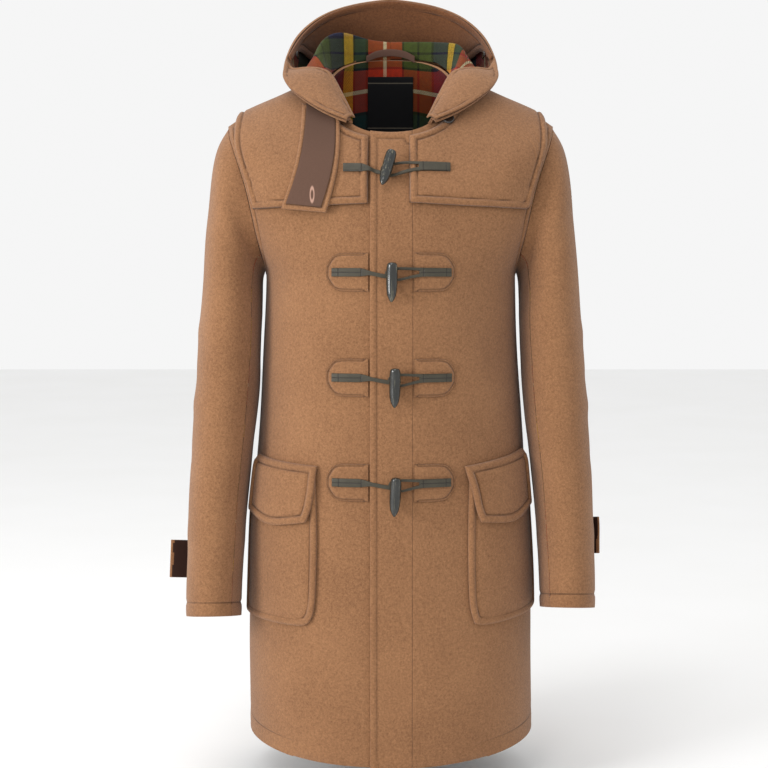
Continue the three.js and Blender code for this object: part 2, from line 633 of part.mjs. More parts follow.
// Hood: the lining side of the cloth, from the neck seam (down = 0) to the rim (down = HOOD_RIM)
function hoodProfile(row, side) {
  const turn = columnAt(HOOD, 'turn', row);
  const roll = side < 0 ? columnAt(HOOD, 'roll', row) : 0;
  const seam = neckSeam(turn);
  const stations = HOOD_STATIONS.map((station) => {
    const r = columnAt(HOOD, `${station}R`, row);
    const z = columnAt(HOOD, `${station}Z`, row) + (station === 'ridge' ? roll : 0);
    return { x: r * Math.sin(radians(turn)), y: -r * Math.cos(radians(turn)), z };
  });
  const rise = HOOD_SEAM_RISE + (side > 0 ? 0.7 * overlapLift(seam.x) : 0);
  return [{ x: seam.x, y: seam.y, z: seam.z + rise }, ...stations];
}

function hoodPoint(row, down, side) {
  const profile = hoodProfile(row, side);
  return new THREE.Vector3(columnAt(profile, 'x', down), columnAt(profile, 'y', down),
    columnAt(profile, 'z', down));
}

function hoodNormal(row, down, side) {
  const lastRow = HOOD.length - 1;
  const safeRow = row > lastRow - 0.03 ? lastRow : Math.max(row, 0.03);
  const safeDown = Math.min(Math.max(down, 0.03), HOOD_RIM - 0.03);
  const alongDown = hoodPoint(safeRow, safeDown + 0.03, side).sub(hoodPoint(safeRow, safeDown - 0.03, side));
  if (safeRow === lastRow) {
    return new THREE.Vector3(1, 0, 0).cross(alongDown).normalize();
  }
  const alongRow = hoodPoint(safeRow + 0.03, safeDown, side).sub(hoodPoint(safeRow - 0.03, safeDown, side));
  return alongDown.cross(alongRow).normalize();
}

function onHood(row, down, side, lift) {
  return hoodPoint(row, down, side).addScaledVector(hoodNormal(row, down, side), lift);
}

function hoodWall(side) {
  const lastRow = HOOD.length - 1;
  const centreTrim = SEAM_GAP / 2;
  const face = (lift) => grid(HOOD_TURNS, HOOD_STEPS, (v, u) => {
    const point = onHood(lastRow * v, HOOD_RIM * u, side, lift);
    if (v === 1) point.x = centreTrim;
    return placed(point, side);
  });
  return wallBetween(face(0), face(-CLOTH));
}

function buildHood() {
  addPiece('hood_right', hoodWall(-1), wool);
  addPiece('hood_left', hoodWall(1), wool);
  const face = (lift) => grid(18, 3, (v, u) => {
    const across = v * 2 - 1;
    const side = across < 0 ? -1 : 1;
    const row = HOOD.length - 1 - Math.abs(across) * (HOOD.length - 1 - TOP_FACING.fromRow);
    const narrow = 1 - 0.45 * smoothStep(0.55, 1, Math.abs(across));
    const down = HOOD_RIM - TOP_FACING.width * narrow * (1 - u);
    return placed(onHood(row, down, side, lift), side);
  });
  addPiece('hood_facing_top', wallBetween(face(FACING_GAP + FACING_CLOTH), face(FACING_GAP)), woolDark);
  for (const [word, side] of [['right', -1], ['left', 1]]) {
    const place = (v, u, lift) => {
      const row = LOWER_FACING.endRow * v;
      const narrow = HOOD_RIM - LOWER_FACING.endWidth;
      const inner = LOWER_FACING.inner + (narrow - LOWER_FACING.inner) * smoothStep(0.66, 1, v);
      return placed(onHood(row, inner + (HOOD_RIM - inner) * u, side, lift), side);
    };
    addPiece(`hood_facing_${word}`, layer(9, 4, place, FACING_GAP + FACING_CLOTH, FACING_GAP), wool);
    const base = onHood(SNAP.row, SNAP.down, side, 0);
    const normal = hoodNormal(SNAP.row, SNAP.down, side);
    const start = base.clone().addScaledVector(normal, FACING_GAP + FACING_CLOTH + LAYER_GAP);
    addPiece(`hood_snap_${word}`, disc(placed(start, side), placed(normal, side), SNAP), buttonHorn);
  }
}

// A round button or stud standing on a point along a normal
function disc(base, normal, size) {
  const { radius, thickness } = size;
  const profile = [
    new THREE.Vector2(0, 0),
    new THREE.Vector2(radius * 0.86, 0),
    new THREE.Vector2(radius, thickness * 0.4),
    new THREE.Vector2(radius * 0.9, thickness),
    new THREE.Vector2(radius * 0.6, thickness * 0.8),
    new THREE.Vector2(0, thickness * 0.75),
  ];
  const turned = new THREE.LatheGeometry(profile, 14);
  turned.deleteAttribute('normal');
  turned.deleteAttribute('uv');
  const geometry = mergeVertices(turned, 1e-4);
  const aim = new THREE.Quaternion().setFromUnitVectors(new THREE.Vector3(0, 1, 0), normal.clone().normalize());
  geometry.applyQuaternion(aim);
  geometry.translate(base.x, base.y, base.z);
  return outward(geometry);
}

// Where a pocket's edges lie at a height, and how far its outer face stands off the trunk
function pocketInnerTurn(z, hang) {
  const down = (POCKET.topZ - z) / (POCKET.topZ - POCKET.innerLowZ);
  const x = POCKET.innerTopX + (POCKET.innerLowX - POCKET.innerTopX) * down - 3 * Math.sin(Math.PI * down)
    + hang.bagOut;
  return turnAtX(x, levelAtZ((level) => turnAtX(x, level), z));
}

function pocketSwell(turn, z, hang) {
  const inner = pocketInnerTurn(z, hang);
  const across = THREE.MathUtils.clamp((turn - inner) / (POCKET.outerTurn - inner), 0, 1);
  const down = THREE.MathUtils.clamp((POCKET.topZ - z) / (POCKET.topZ - POCKET.innerLowZ), 0, 1);
  const round = Math.sin(Math.PI * across ** 0.8) ** 0.7;
  return POCKET.bulge * round * Math.sin(Math.PI * Math.min(down * 0.8 + 0.2, 1)) ** 0.7;
}

function pocketPlace(v, u, lift, hang) {
  const lowZ = POCKET.innerLowZ + (POCKET.outerLowZ - POCKET.innerLowZ) * u;
  const corner = POCKET.cornerRadius * Math.max(1 - u / 0.12, 0) * Math.max((v - 0.88) / 0.12, 0);
  const z = POCKET.topZ + (lowZ - POCKET.topZ) * v + corner * 0.5;
  const inner = pocketInnerTurn(z, hang) + corner * 0.2;
  const turn = inner + (POCKET.outerTurn - inner) * u;
  return atTurnZ(turn, z + hang.rise * u, lift + pocketSwell(turn, z, hang));
}

function flapPlace(v, u, lift, hang) {
  const lowZ = FLAP.innerLowZ + (FLAP.outerLowZ - FLAP.innerLowZ) * u - 9 * Math.sin(Math.PI * u) ** 2;
  const round = Math.max(1 - u / 0.12, 0) * Math.max((v - 0.8) / 0.2, 0);
  const z = FLAP.topZ + (lowZ - FLAP.topZ) * v + FLAP.corner * round;
  const x = FLAP.innerTopX + (FLAP.innerLowX - FLAP.innerTopX) * v + FLAP.corner * round
    - FLAP.waist * Math.sin(Math.PI * v) + hang.flapOut * smoothStep(0, 0.5, v);
  const inner = turnAtX(x, levelAtZ((level) => turnAtX(x, level), z));
  const turn = inner + (FLAP.outerTurn - inner) * u;
  const over = (LAYER + FLAP.gap + pocketSwell(turn, z, hang)) * (1 - smoothStep(POCKET.topZ, FLAP.topZ, z));
  return atTurnZ(turn, z + hang.rise * u, lift + over + FLAP.stand * v);
}

function buildPockets() {
  for (const [word, side] of [['right', -1], ['left', 1]]) {
    const onSide = (place) => (v, u, lift) => placed(place(v, u, lift, POCKET_SIDES[word]), side);
    addPiece(`pocket_${word}`, layer(9, 9, onSide(pocketPlace), LAYER, LAYER_GAP), woolShade);
    addPiece(`pocket_flap_${word}`, layer(7, 9, onSide(flapPlace), LAYER, LAYER_GAP), wool);
  }
}

function buildPatches(toggle, word) {
  for (const [sideWord, side] of [['right', -1], ['left', 1]]) {
    const place = (v, u, lift) => {
      const x = side > 0 ? PATCH.inner + (PATCH.outer - PATCH.inner) * u
        : -PATCH.inner - (PATCH.outer - PATCH.inner) * u;
      const straight = (PATCH.outer - PATCH.corner - PATCH.inner) / (PATCH.outer - PATCH.inner);
      const past = Math.max((u - straight) / (1 - straight), 0);
      const half = PATCH.half * (0.3 + 0.7 * Math.sqrt(Math.max(1 - past * past, 0)));
      const base = side > 0 ? overlapLift(x) : 0;
      return atXZ(x, toggle.z + half * (v * 2 - 1), lift + base);
    };
    addPiece(`toggle_patch_${sideWord}_${word}`, layer(4, 7, place, LAYER_GAP + PATCH_CLOTH, LAYER_GAP), wool);
  }
}

// The loop leather: rings of points from its hole to its outer edge, laid on the fronts
function loopLeather(outline, hole, toggle, thickness, liftAt) {
  const across = 2;
  const face = (depth) => {
    const rows = [];
    for (let r = 0; r <= across; r += 1) {
      rows.push(outline.map((point, i) => {
        const flat = hole[i].clone().lerp(point, r / across);
        const sag = LOOP.sag * (1 - smoothStep(toggle.x, LOOP.flat, flat.x));
        return atXZ(flat.x, toggle.z - sag + flat.y, liftAt(flat.x) + depth);
      }));
    }
    return rows;
  };
  return closedWall(face(thickness), face(0));
}

// Both long edges of a leather as one closed outline, from its half-height at each x
function bothEdges(fromX, toX, steps, halfAt) {
  const upper = [];
  const lower = [];
  for (let i = 0; i <= steps; i += 1) {
    const x = fromX + (toX - fromX) * (0.5 - 0.5 * Math.cos((Math.PI * i) / steps));
    upper.push(new THREE.Vector2(x, halfAt(x)));
    lower.unshift(new THREE.Vector2(x, -halfAt(x)));
  }
  return [...upper, ...lower];
}

function buildFastening(toggle, number) {
  const word = `${number}`;
  const under = toggle.patches ? PATCH_CLOTH + LAYER_GAP : YOKE.gap + CLOTH;
  if (toggle.patches) buildPatches(toggle, word);
  const dipFrom = toggle.patches ? BAND.edge - 7 : BAND.edge;
  const strapBase = (x) => {
    const onPatch = under + SEAM_GAP;
    const onBand = LAYER + SEAM_GAP;
    return onPatch + (onBand - onPatch) * smoothStep(dipFrom, dipFrom + 5, x);
  };
  const strapHalf = (x) => STRAP.cord + (STRAP.half - STRAP.cord) * (1 - smoothStep(STRAP.narrow, BAND.edge, x));
  const strapPlace = (v, u, lift) => {
    const x = toggle.strapOuter + (STRAP.end + toggle.x - toggle.strapOuter) * v;
    const sag = STRAP.sag * smoothStep(STRAP.narrow, toggle.x, x);
    return atXZ(x, toggle.z - sag + strapHalf(x) * (1 - 2 * u), lift + strapBase(x));
  };
  addPiece(`toggle_strap_${word}`, layer(12, 2, strapPlace, STRAP.cordThick, 0), leather);

  const loopEnd = LOOP.end + toggle.x;
  const loopBase = (x) => {
    const patchLift = overlapLift(x) + under + LAYER_GAP;
    const overStrap = LAYER + SEAM_GAP + STRAP.cordThick + SEAM_GAP;
    return overStrap + (patchLift - overStrap) * smoothStep(BAND.edge + 26, BAND.seam - 9, x);
  };
  const spread = (x) => 1 - smoothStep(toggle.x + 4, LOOP.flat, x);
  const rounded = (x, reach) => Math.sqrt(Math.max(1 - Math.max((loopEnd + reach - x) / reach, 0) ** 2, 0.02));
  const outerHalf = (x) => (LOOP.half + (LOOP.cordOut - LOOP.half) * spread(x)) * rounded(x, 7);
  const outline = bothEdges(loopEnd, LOOP.outer, 12, outerHalf);
  const holeFrom = loopEnd + LOOP.cordOut - LOOP.cordIn;
  const holeHalf = (x) => (LOOP.slit + (LOOP.cordIn - LOOP.slit) * spread(x))
    * Math.sqrt(Math.max(1 - Math.max((holeFrom + 4 - x) / 4, 0) ** 2, 0.05));
  const hole = bothEdges(holeFrom, LOOP.flat - 5, 12, holeHalf);
  addPiece(`toggle_loop_${word}`, loopLeather(outline, hole, toggle, LEATHER, loopBase), leather);
  addPiece(`toggle_${word}`, togglePeg(toggle), horn);
}

// A horn peg: round sections along a slightly bowed line, tapering to blunt ends
function togglePeg(toggle) {
  const under = LAYER + SEAM_GAP + STRAP.cordThick + SEAM_GAP + LEATHER + SEAM_GAP;
  const middleZ = toggle.z - toggle.drop;
  const centre = atXZ(toggle.x, middleZ, under + TOGGLE.radius);
  const tilt = radians(toggle.tilt);
  const reach = TOGGLE.length / 2;
  const upward = atXZ(toggle.x, middleZ + reach, 0).sub(atXZ(toggle.x, middleZ - reach, 0)).normalize();
  const sideways = new THREE.Vector3(1, 0, 0);
  const out = sideways.clone().cross(upward).normalize();
  const along = upward.clone().multiplyScalar(Math.cos(tilt)).addScaledVector(sideways, -Math.sin(tilt));
  const across = along.clone().cross(out).normalize();
  const rings = 8;
  const sides = 10;
  const positions = [];
  const indices = [];
  for (let i = 0; i <= rings; i += 1) {
    const t = (i / rings) * 2 - 1;
    const low = Math.max(-t + 0.15, 0) / 1.15;
    const high = Math.max(t - 0.55, 0) / 0.45;
    const radius = TOGGLE.radius * (TOGGLE.tip + (1 - TOGGLE.tip) * Math.sqrt(1 - low ** 2.4))
      * (1 - (1 - TOGGLE.top) * high ** 2);
    const bow = TOGGLE.bow * t * t;
    for (let s = 0; s < sides; s += 1) {
      const turn = (s / sides) * Math.PI * 2;
      const point = centre.clone().addScaledVector(along, (TOGGLE.length / 2) * t)
        .addScaledVector(across, radius * Math.cos(turn))
        .addScaledVector(out, bow + radius * Math.sin(turn));
      positions.push(point.x, point.y, point.z);
    }
  }
  for (let i = 0; i < rings; i += 1) {
    for (let s = 0; s < sides; s += 1) {
      const next = (s + 1) % sides;
      const a = i * sides + s;
      const b = i * sides + next;
      indices.push(a, b, b + sides, a, b + sides, a + sides);
    }
  }
  const addCap = (ring, isLast) => {
    const sum = new THREE.Vector3();
    for (let s = 0; s < sides; s += 1) {
      sum.add(new THREE.Vector3().fromArray(positions, (ring * sides + s) * 3));
    }
    sum.multiplyScalar(1 / sides).addScaledVector(along, isLast ? 1.5 : -1.5);
    positions.push(sum.x, sum.y, sum.z);
    const tipIndex = positions.length / 3 - 1;
    for (let s = 0; s < sides; s += 1) {
      const a = ring * sides + s;
      const b = ring * sides + ((s + 1) % sides);
      if (isLast) indices.push(a, b, tipIndex);
      else indices.push(b, a, tipIndex);
    }
  };
  addCap(0, false);
  addCap(rings, true);
  const geometry = new THREE.BufferGeometry();
  geometry.setAttribute('position', new THREE.Float32BufferAttribute(positions, 3));
  geometry.setIndex(indices);
  return outward(geometry);
}

function buildThroatTab() {
  const size = THROAT_TAB;
  const place = (border) => (v, u, lift) => {
    const lerp = THREE.MathUtils.lerp;
    const bow = size.bow * Math.sin(Math.PI * v);
    const outerX = lerp(size.topOuterX, size.lowOuterX, v) + border;
    const innerX = lerp(size.topInnerX, size.lowInnerX, v) - border;
    const outerZ = lerp(size.topOuterZ, size.lowOuterZ + border, v);
    const innerZ = lerp(size.topInnerZ, size.lowInnerZ + border, v);
    const x = lerp(outerX, innerX, u) + bow;
    return atXZ(x, lerp(outerZ, innerZ, u), lift + YOKE.gap + CLOTH + size.gap);
  };
  addPiece('throat_tab', layer(8, 4, place(0), CLOTH, 0), wool);
  const backingLift = CLOTH + LAYER_GAP;
  addPiece('throat_tab_backing', layer(8, 3, place(size.border), backingLift + BINDING, backingLift), brown);
  const base = atXZ(BUTTON.x, BUTTON.z, YOKE.gap + CLOTH + overlapLift(BUTTON.x) + LAYER_GAP);
  const normal = atXZ(BUTTON.x, BUTTON.z, 20).sub(base).normalize();
  addPiece('throat_tab_button', disc(base, normal, BUTTON), buttonHorn);
}

function buildCuffTabs() {
  const lastRow = SLEEVE.length - 1;
  for (const tab of CUFF_TABS) {
    const word = tab.side < 0 ? 'right' : 'left';
    const drop = tab.side < 0 ? RIGHT_SLEEVE_DROP : 0;
    const place = (v, u, lift) => {
      const turn = CUFF_TAB.startTurn + (CUFF_TAB.endTurn - CUFF_TAB.startTurn) * u;
      const row = tab.topRow + (tab.lowRow - tab.topRow) * v;
      const away = Math.max((turn - CUFF_TAB.leaveTurn) / (CUFF_TAB.endTurn - CUFF_TAB.leaveTurn), 0);
      const stand = tab.flare * away ** 1.6;
      const clear = CUFF_TAB.gap + stand;
      const point = onSleeve(turn, row, lift + clear);
      point.z -= drop * smoothStep(3, lastRow, row);
      return placed(point, tab.side);
    };
    addPiece(`cuff_tab_${word}`, layer(3, CUFF_TAB.steps, place, CLOTH, 0), wool);
    const middle = (tab.topRow + tab.lowRow) / 2;
    const fastenLift = CUFF_TAB.gap + CLOTH + LAYER_GAP;
    const base = onSleeve(CUFF_BUTTON.turn, middle, fastenLift);
    base.z -= drop * smoothStep(3, lastRow, middle);
    const normal = sleeveNormal(CUFF_BUTTON.turn, middle);
    addPiece(`cuff_button_${word}`, disc(placed(base, tab.side), placed(normal, tab.side), CUFF_BUTTON), buttonHorn);
  }
}

function buildNeckTrim() {
  const place = (v, u, lift) => {
    const x = LABEL.half * (u * 2 - 1);
    const z = LABEL.topZ + (LABEL.lowZ - LABEL.topZ) * v;
    return atXZ(x === 0 ? 1e-6 : x, z, lift, true);
  };
  const labelFace = -(CLOTH + LABEL.gap);
  addPiece('neck_label', layer(5, 6, place, labelFace, labelFace - BACKNECK_LABEL), black);
  // The hanger's ends are sewn to the back's neck edge
  const seat = onTrunk(turnAtX(HANGER.half, NECK, true), NECK, -(CLOTH + LAYER_GAP));
  const endZ = seat.z + HANGER.endRise;
  const path = new THREE.CatmullRomCurve3([
    new THREE.Vector3(-HANGER.half, seat.y, endZ),
    new THREE.Vector3(-HANGER.half * 0.6, seat.y + HANGER.bow * 0.7, endZ + HANGER.rise * 0.7),
    new THREE.Vector3(0, seat.y + HANGER.bow, endZ + HANGER.rise),
    new THREE.Vector3(HANGER.half * 0.6, seat.y + HANGER.bow * 0.7, endZ + HANGER.rise * 0.7),
    new THREE.Vector3(HANGER.half, seat.y, endZ),
  ]);
  const steps = 14;
  const edge = (inset, up) => {
    const row = [];
    for (let i = 0; i <= steps; i += 1) {
      const point = path.getPoint(i / steps);
      row.push(new THREE.Vector3(point.x, point.y - inset, point.z + up));
    }
    return row;
  };
  const half = HANGER.width / 2;
  const outer = [edge(0, -half), edge(0, half)];
  const inner = [edge(HANGER.thick, -half), edge(HANGER.thick, half)];
  addPiece('hanger_loop', wallBetween(outer, inner), brown);
}

buildTrunk();
buildYoke();
buildSleeves();
buildHood();
buildPockets();
TOGGLES.forEach((toggle, index) => buildFastening(toggle, index + 1));
buildThroatTab();
buildCuffTabs();
buildNeckTrim();

export default coat;
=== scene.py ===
"""Looks of a hooded duffle coat: wool, tartan lining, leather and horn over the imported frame."""

from __future__ import annotations

import json
import logging
import math
from dataclasses import dataclass, field
from enum import Enum
from typing import Callable, Iterator, Sequence

import bmesh
import bpy
import numpy as np
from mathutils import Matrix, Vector, kdtree

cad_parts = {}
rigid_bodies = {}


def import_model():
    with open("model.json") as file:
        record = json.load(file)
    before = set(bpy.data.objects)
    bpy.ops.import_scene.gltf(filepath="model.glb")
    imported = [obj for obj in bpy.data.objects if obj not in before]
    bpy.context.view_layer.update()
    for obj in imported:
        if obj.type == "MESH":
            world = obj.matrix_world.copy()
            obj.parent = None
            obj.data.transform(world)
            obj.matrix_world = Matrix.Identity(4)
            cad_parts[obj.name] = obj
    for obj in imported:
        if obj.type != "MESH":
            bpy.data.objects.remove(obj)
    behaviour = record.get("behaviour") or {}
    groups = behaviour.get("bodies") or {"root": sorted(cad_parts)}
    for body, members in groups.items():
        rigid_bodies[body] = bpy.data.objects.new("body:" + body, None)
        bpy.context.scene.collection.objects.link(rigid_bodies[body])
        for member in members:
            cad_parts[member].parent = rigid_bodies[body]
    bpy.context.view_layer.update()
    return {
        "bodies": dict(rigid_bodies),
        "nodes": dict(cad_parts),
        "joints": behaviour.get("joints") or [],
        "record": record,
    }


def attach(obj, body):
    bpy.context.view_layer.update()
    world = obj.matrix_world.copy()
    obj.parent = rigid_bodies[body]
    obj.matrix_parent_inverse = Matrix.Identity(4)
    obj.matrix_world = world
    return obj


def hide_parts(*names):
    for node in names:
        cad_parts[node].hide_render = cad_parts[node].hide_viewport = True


log = logging.getLogger("duffle_coat")

MM = 0.001
WOOL_FACE, LINING_FACE, EDGE_FACE = 0, 1, 2

# Names under which a mesh keeps its distance from the stitches, and its lining's map.
SEAM_MARK, LINING_MAP = "seam", "cloth"
# Vertices closer than this are one, in metres.
WELD = 0.01 * MM
# Two triangles join to a quad up to this bend and this skew.
QUAD_BEND, QUAD_SKEW = math.radians(32), math.radians(170)
# A fold past the first parts the sides of a piece, and one past the second is rounded.
SHARP_FOLD, ROUNDED_FOLD = math.radians(50), math.radians(55)
# Faces that join smoothly are a side of the piece from this share of the largest such group.
BROAD_SHARE = 0.12
# In millimetres: a distance that no stitch reaches, the spread of a row of stitches, the spread
# of an edge that turns down, and how far two edges that meet are pushed together.
FAR_OFF, STITCH_SPREAD, TURN_SPREAD, MEETING_PUSH = 999.0, 1.8, 4.5, 0.9
# The swelling beside a seam fades out over so many metres of height, down to a share.
SWELL_FADE, SWELL_LEFT = 0.04, 0.1
# The trunk's half width and half depth, in metres.
TRUNK_HALF = (0.2, 0.155)
# Heights of the two ripples in metres, and how much further in the right arm's folds lie.
TRUNK_RIPPLE, ARM_RIPPLE, RIGHT_ARM_SHIFT = 0.0009, 0.0007, 0.004
# How far from the neck's axis the hood's pouch starts, in metres.
POUCH_REACH = 0.132
# How far the hood's neck edge comes down, and over what height, in metres.
NECK_DROP, NECK_SPREAD = 0.0022, 0.006
CHECK_SHIFT = (1.368, 1.377)

# Slot, outer finish and inner finish of each kind of piece.
LINED_WOOL = ("wool", "brushed_wool", "tartan_lining")
PLAIN_WOOL = ("wool", "brushed_wool", "brushed_wool")
# The cuff tabs' inner side is brown binding darkened further with painted shade.
BOUND_WOOL = ("wool", "brushed_wool", "binding_with_painted_shade")
# The hood's top facing wears a darker copy of the wool, which paints the shade it lies in.
FACING_WOOL_PAINTED_SHADE = ("facing_wool", "facing_wool", "facing_wool")
PATCH_WOOL = ("patch_wool", "brushed_wool", "brushed_wool")
LEATHER = ("leather", "strap_leather", "strap_leather")
HORN = ("horn", "polished_horn", "polished_horn")
BUTTON = ("button", "dark_button", "dark_button")
TAB_CLOTH = ("binding", "tab_lining", "tab_lining")
HANGER_CLOTH = ("binding", "brown_binding", "brown_binding")
LABEL_CLOTH = ("label", "bare_label", "bare_label")


class Outward(Enum):
    """What a cloth piece wraps, which tells its outer side from its lining side."""

    TRUNK = "trunk"
    ARM = "arm"
    HOOD = "hood"
    POUCH = "pouch"


class Value:
    """A number socket that turns arithmetic into Math nodes."""

    def __init__(self, shader: "Shader", socket: bpy.types.NodeSocket) -> None:
        """Keep the shader and the socket."""
        self.shader = shader
        self.socket = socket

    def _math(self, operation: str, first: object, second: object) -> "Value":
        """Add one Math node.

        Args:
            operation: the Math node's operation.
            first: the first value, a Value or a number.
            second: the second value, a Value or a number.

        Returns:
            The node's result.
        """
        settings, inputs = {"operation": operation}, {0: first, 1: second}
        return Value(self.shader, self.shader.node("ShaderNodeMath", settings, inputs))

    def __add__(self, other: object) -> "Value":
        """Sum."""
        return self._math("ADD", self, other)

    __radd__ = __add__

    def __sub__(self, other: object) -> "Value":
        """Difference."""
        return self._math("SUBTRACT", self, other)

    def __rsub__(self, other: object) -> "Value":
        """Difference, reflected."""
        return self._math("SUBTRACT", other, self)

    def __mul__(self, other: object) -> "Value":
        """Product."""
        return self._math("MULTIPLY", self, other)

    __rmul__ = __mul__

    def __truediv__(self, other: object) -> "Value":
        """Quotient."""
        return self._math("DIVIDE", self, other)

    def __abs__(self) -> "Value":
        """Size without sign."""
        return self._math("ABSOLUTE", self, 0.0)

    def above(self, limit: float) -> "Value":
        """One where the value is over the limit, otherwise zero."""
        return self._math("GREATER_THAN", self, limit)

    def limited(self) -> "Value":
        """The value kept between zero and one."""
        raised = self._math("MAXIMUM", self, 0.0)
        return raised._math("MINIMUM", raised, 1.0)

    def root(self) -> "Value":
        """The square root."""
        return self._math("POWER", self, 0.5)

    def wrapped(self) -> "Value":
        """The fraction past the last whole number."""
        return self._math("FRACT", self, 0.0)

    def swing(self, gain: float) -> "Value":
        """How far the value is from one half, times a gain."""
        return (self - 0.5) * gain

    def ridge(self, centre: float, width: float) -> "Value":
        """A soft hump that is one at the centre and zero past the width.

        Args:
            centre: where the hump stands.
            width: its half width.

        Returns:
            The hump's height.
        """
        slope = 1.0 - abs(self - centre) / width
        return slope._math("MAXIMUM", slope, 0.0)


class Shader:
    """A material and the few ways in which this coat's finishes add nodes to it."""

    def __init__(self, name: str) -> None:
        """Start an empty material with a Principled BSDF."""
        self.material = bpy.data.materials.new(name)
        self.material.use_nodes = True
        self.tree = self.material.node_tree
        self.surface = self.tree.nodes["Principled BSDF"]
        self.place = self.node("ShaderNodeTexCoord", {}, {}, "Object")

    def node(self, kind: str, settings: dict, inputs: dict,
             output: int | str = 0) -> bpy.types.NodeSocket:
        """Add any node.

        Args:
            kind: the node's type.
            settings: its properties, or a ramp's interpolation and its stops, which are
                (position, colour) pairs.
            inputs: values or links by socket name or number.
            output: which output to return.

        Returns:
            The chosen output socket.
        """
        added = self.tree.nodes.new(kind)
        for key, value in settings.items():
            if key == "stops":
                self._set_stops(added.color_ramp, value)
            elif key == "interpolation":
                added.color_ramp.interpolation = value
            else:
                setattr(added, key, value)
        for key, value in inputs.items():
            self._feed(added.inputs[key], value)
        return added.outputs[output]

    def _feed(self, socket: bpy.types.NodeSocket, value: object) -> None:
        """Link a value to a socket, or set a plain one there.

        Args:
            socket: the input socket.
            value: a Value, a link, a number or a colour.
        """
        if isinstance(value, Value):
            value = value.socket
        if isinstance(value, bpy.types.NodeSocket):
            self.tree.links.new(value, socket)
        else:
            socket.default_value = value

    @staticmethod
    def _set_stops(ramp: bpy.types.ColorRamp, stops: Sequence[tuple[float, tuple]]) -> None:
        """Give a colour ramp its stops.

        Args:
            ramp: the ramp, which may have stops already.
            stops: the new ones, as (position, colour) pairs from the left.
        """
        while len(ramp.elements) > 1:
            ramp.elements.remove(ramp.elements[-1])
        ramp.elements[0].position, ramp.elements[0].color = stops[0]
        for position, colour in stops[1:]:
            ramp.elements.new(position).color = colour

    def noise(self, scale: float, detail: float = 2.0, rough: float = 0.5,
              where: object = None) -> Value:
        """Smooth random values over the piece.

        Args:
            scale: how finely they change.
            detail: how many finer layers are added.
            rough: how much of each finer layer shows.
            where: the coordinates, if not the object's own.

        Returns:
            Values from 0 to 1.
        """
        vector = self.place if where is None else where
        inputs = {"Vector": vector, "Scale": scale, "Detail": detail, "Roughness": rough}
        return Value(self, self.node("ShaderNodeTexNoise", {}, inputs))

    def along(self, axis: str, where: object = None) -> Value:
        """One coordinate of the object, or of another vector."""
        vector = self.place if where is None else where
        return Value(self, self.node("ShaderNodeSeparateXYZ", {}, {0: vector}, axis))

    def stretched(self, scale: tuple[float, float, float]) -> bpy.types.NodeSocket:
        """Object coordinates scaled apart, for streaks."""
        return self.node("ShaderNodeMapping", {}, {"Vector": self.place, "Scale": scale})

    def own_map(self, name: str) -> bpy.types.NodeSocket:
        """A map kept on the mesh under that name, in metres along the cloth."""
        return self.node("ShaderNodeUVMap", {"uv_map": name}, {})

    def attribute(self, name: str) -> Value:
        """A number kept on the mesh under that name."""
        return Value(self, self.node("ShaderNodeAttribute", {"attribute_name": name}, {}, "Fac"))

    def mix(self, share: object, first: object, second: object) -> bpy.types.NodeSocket:
        """Two colours mixed by a share."""
        inputs = {0: share, 6: first, 7: second}
        return self.node("ShaderNodeMix", {"data_type": "RGBA"}, inputs, 2)

    def bump(self, height: Value, depth: float, strength: float = 1.0,
             under: object = None) -> bpy.types.NodeSocket:
        """A Bump node for a height.

        Args:
            height: the height, from 0 to 1.
            depth: metres between 0 and 1.
            strength: how much of it shows.
            under: the normal that it rides on.

        Returns:
            The bumped normal.
        """
        inputs = {"Height": height, "Distance": depth, "Strength": strength}
        if under is not None:
            inputs["Normal"] = under
        return self.node("ShaderNodeBump", {}, inputs)

    def finish(self, colour: object, roughness: object, normal: object = None,
               **fixed: float) -> bpy.types.Material:
        """Link the last values to the surface.

        Args:
            colour: the base colour, a value or link.
            roughness: the roughness, a value or link.
            normal: the normal, if bumped.
            **fixed: plain numbers for other sockets, with underscores for spaces.

        Returns:
            The material.
        """
        for name, value in (("Base Color", colour), ("Roughness", roughness), ("Normal", normal)):
            if value is not None:
                self._feed(self.surface.inputs[name], value)
        for name, value in fixed.items():
            self._feed(self.surface.inputs[name.replace("_", " ")], value)
        return self.material


def linear(red: int, green: int, blue: int) -> tuple[float, float, float, float]:
    """A screen colour as the linear colour that shaders take, by the sRGB curve."""
    curve = (((c / 255 + 0.055) / 1.055) ** 2.4 if c > 10 else c / 255 / 12.92
             for c in (red, green, blue))
    return (*curve, 1.0)


def darkened(colour: tuple, share: float) -> tuple:
    """A colour at a share of its brightness."""
    return tuple(c * share for c in colour[:3]) + (1.0,)


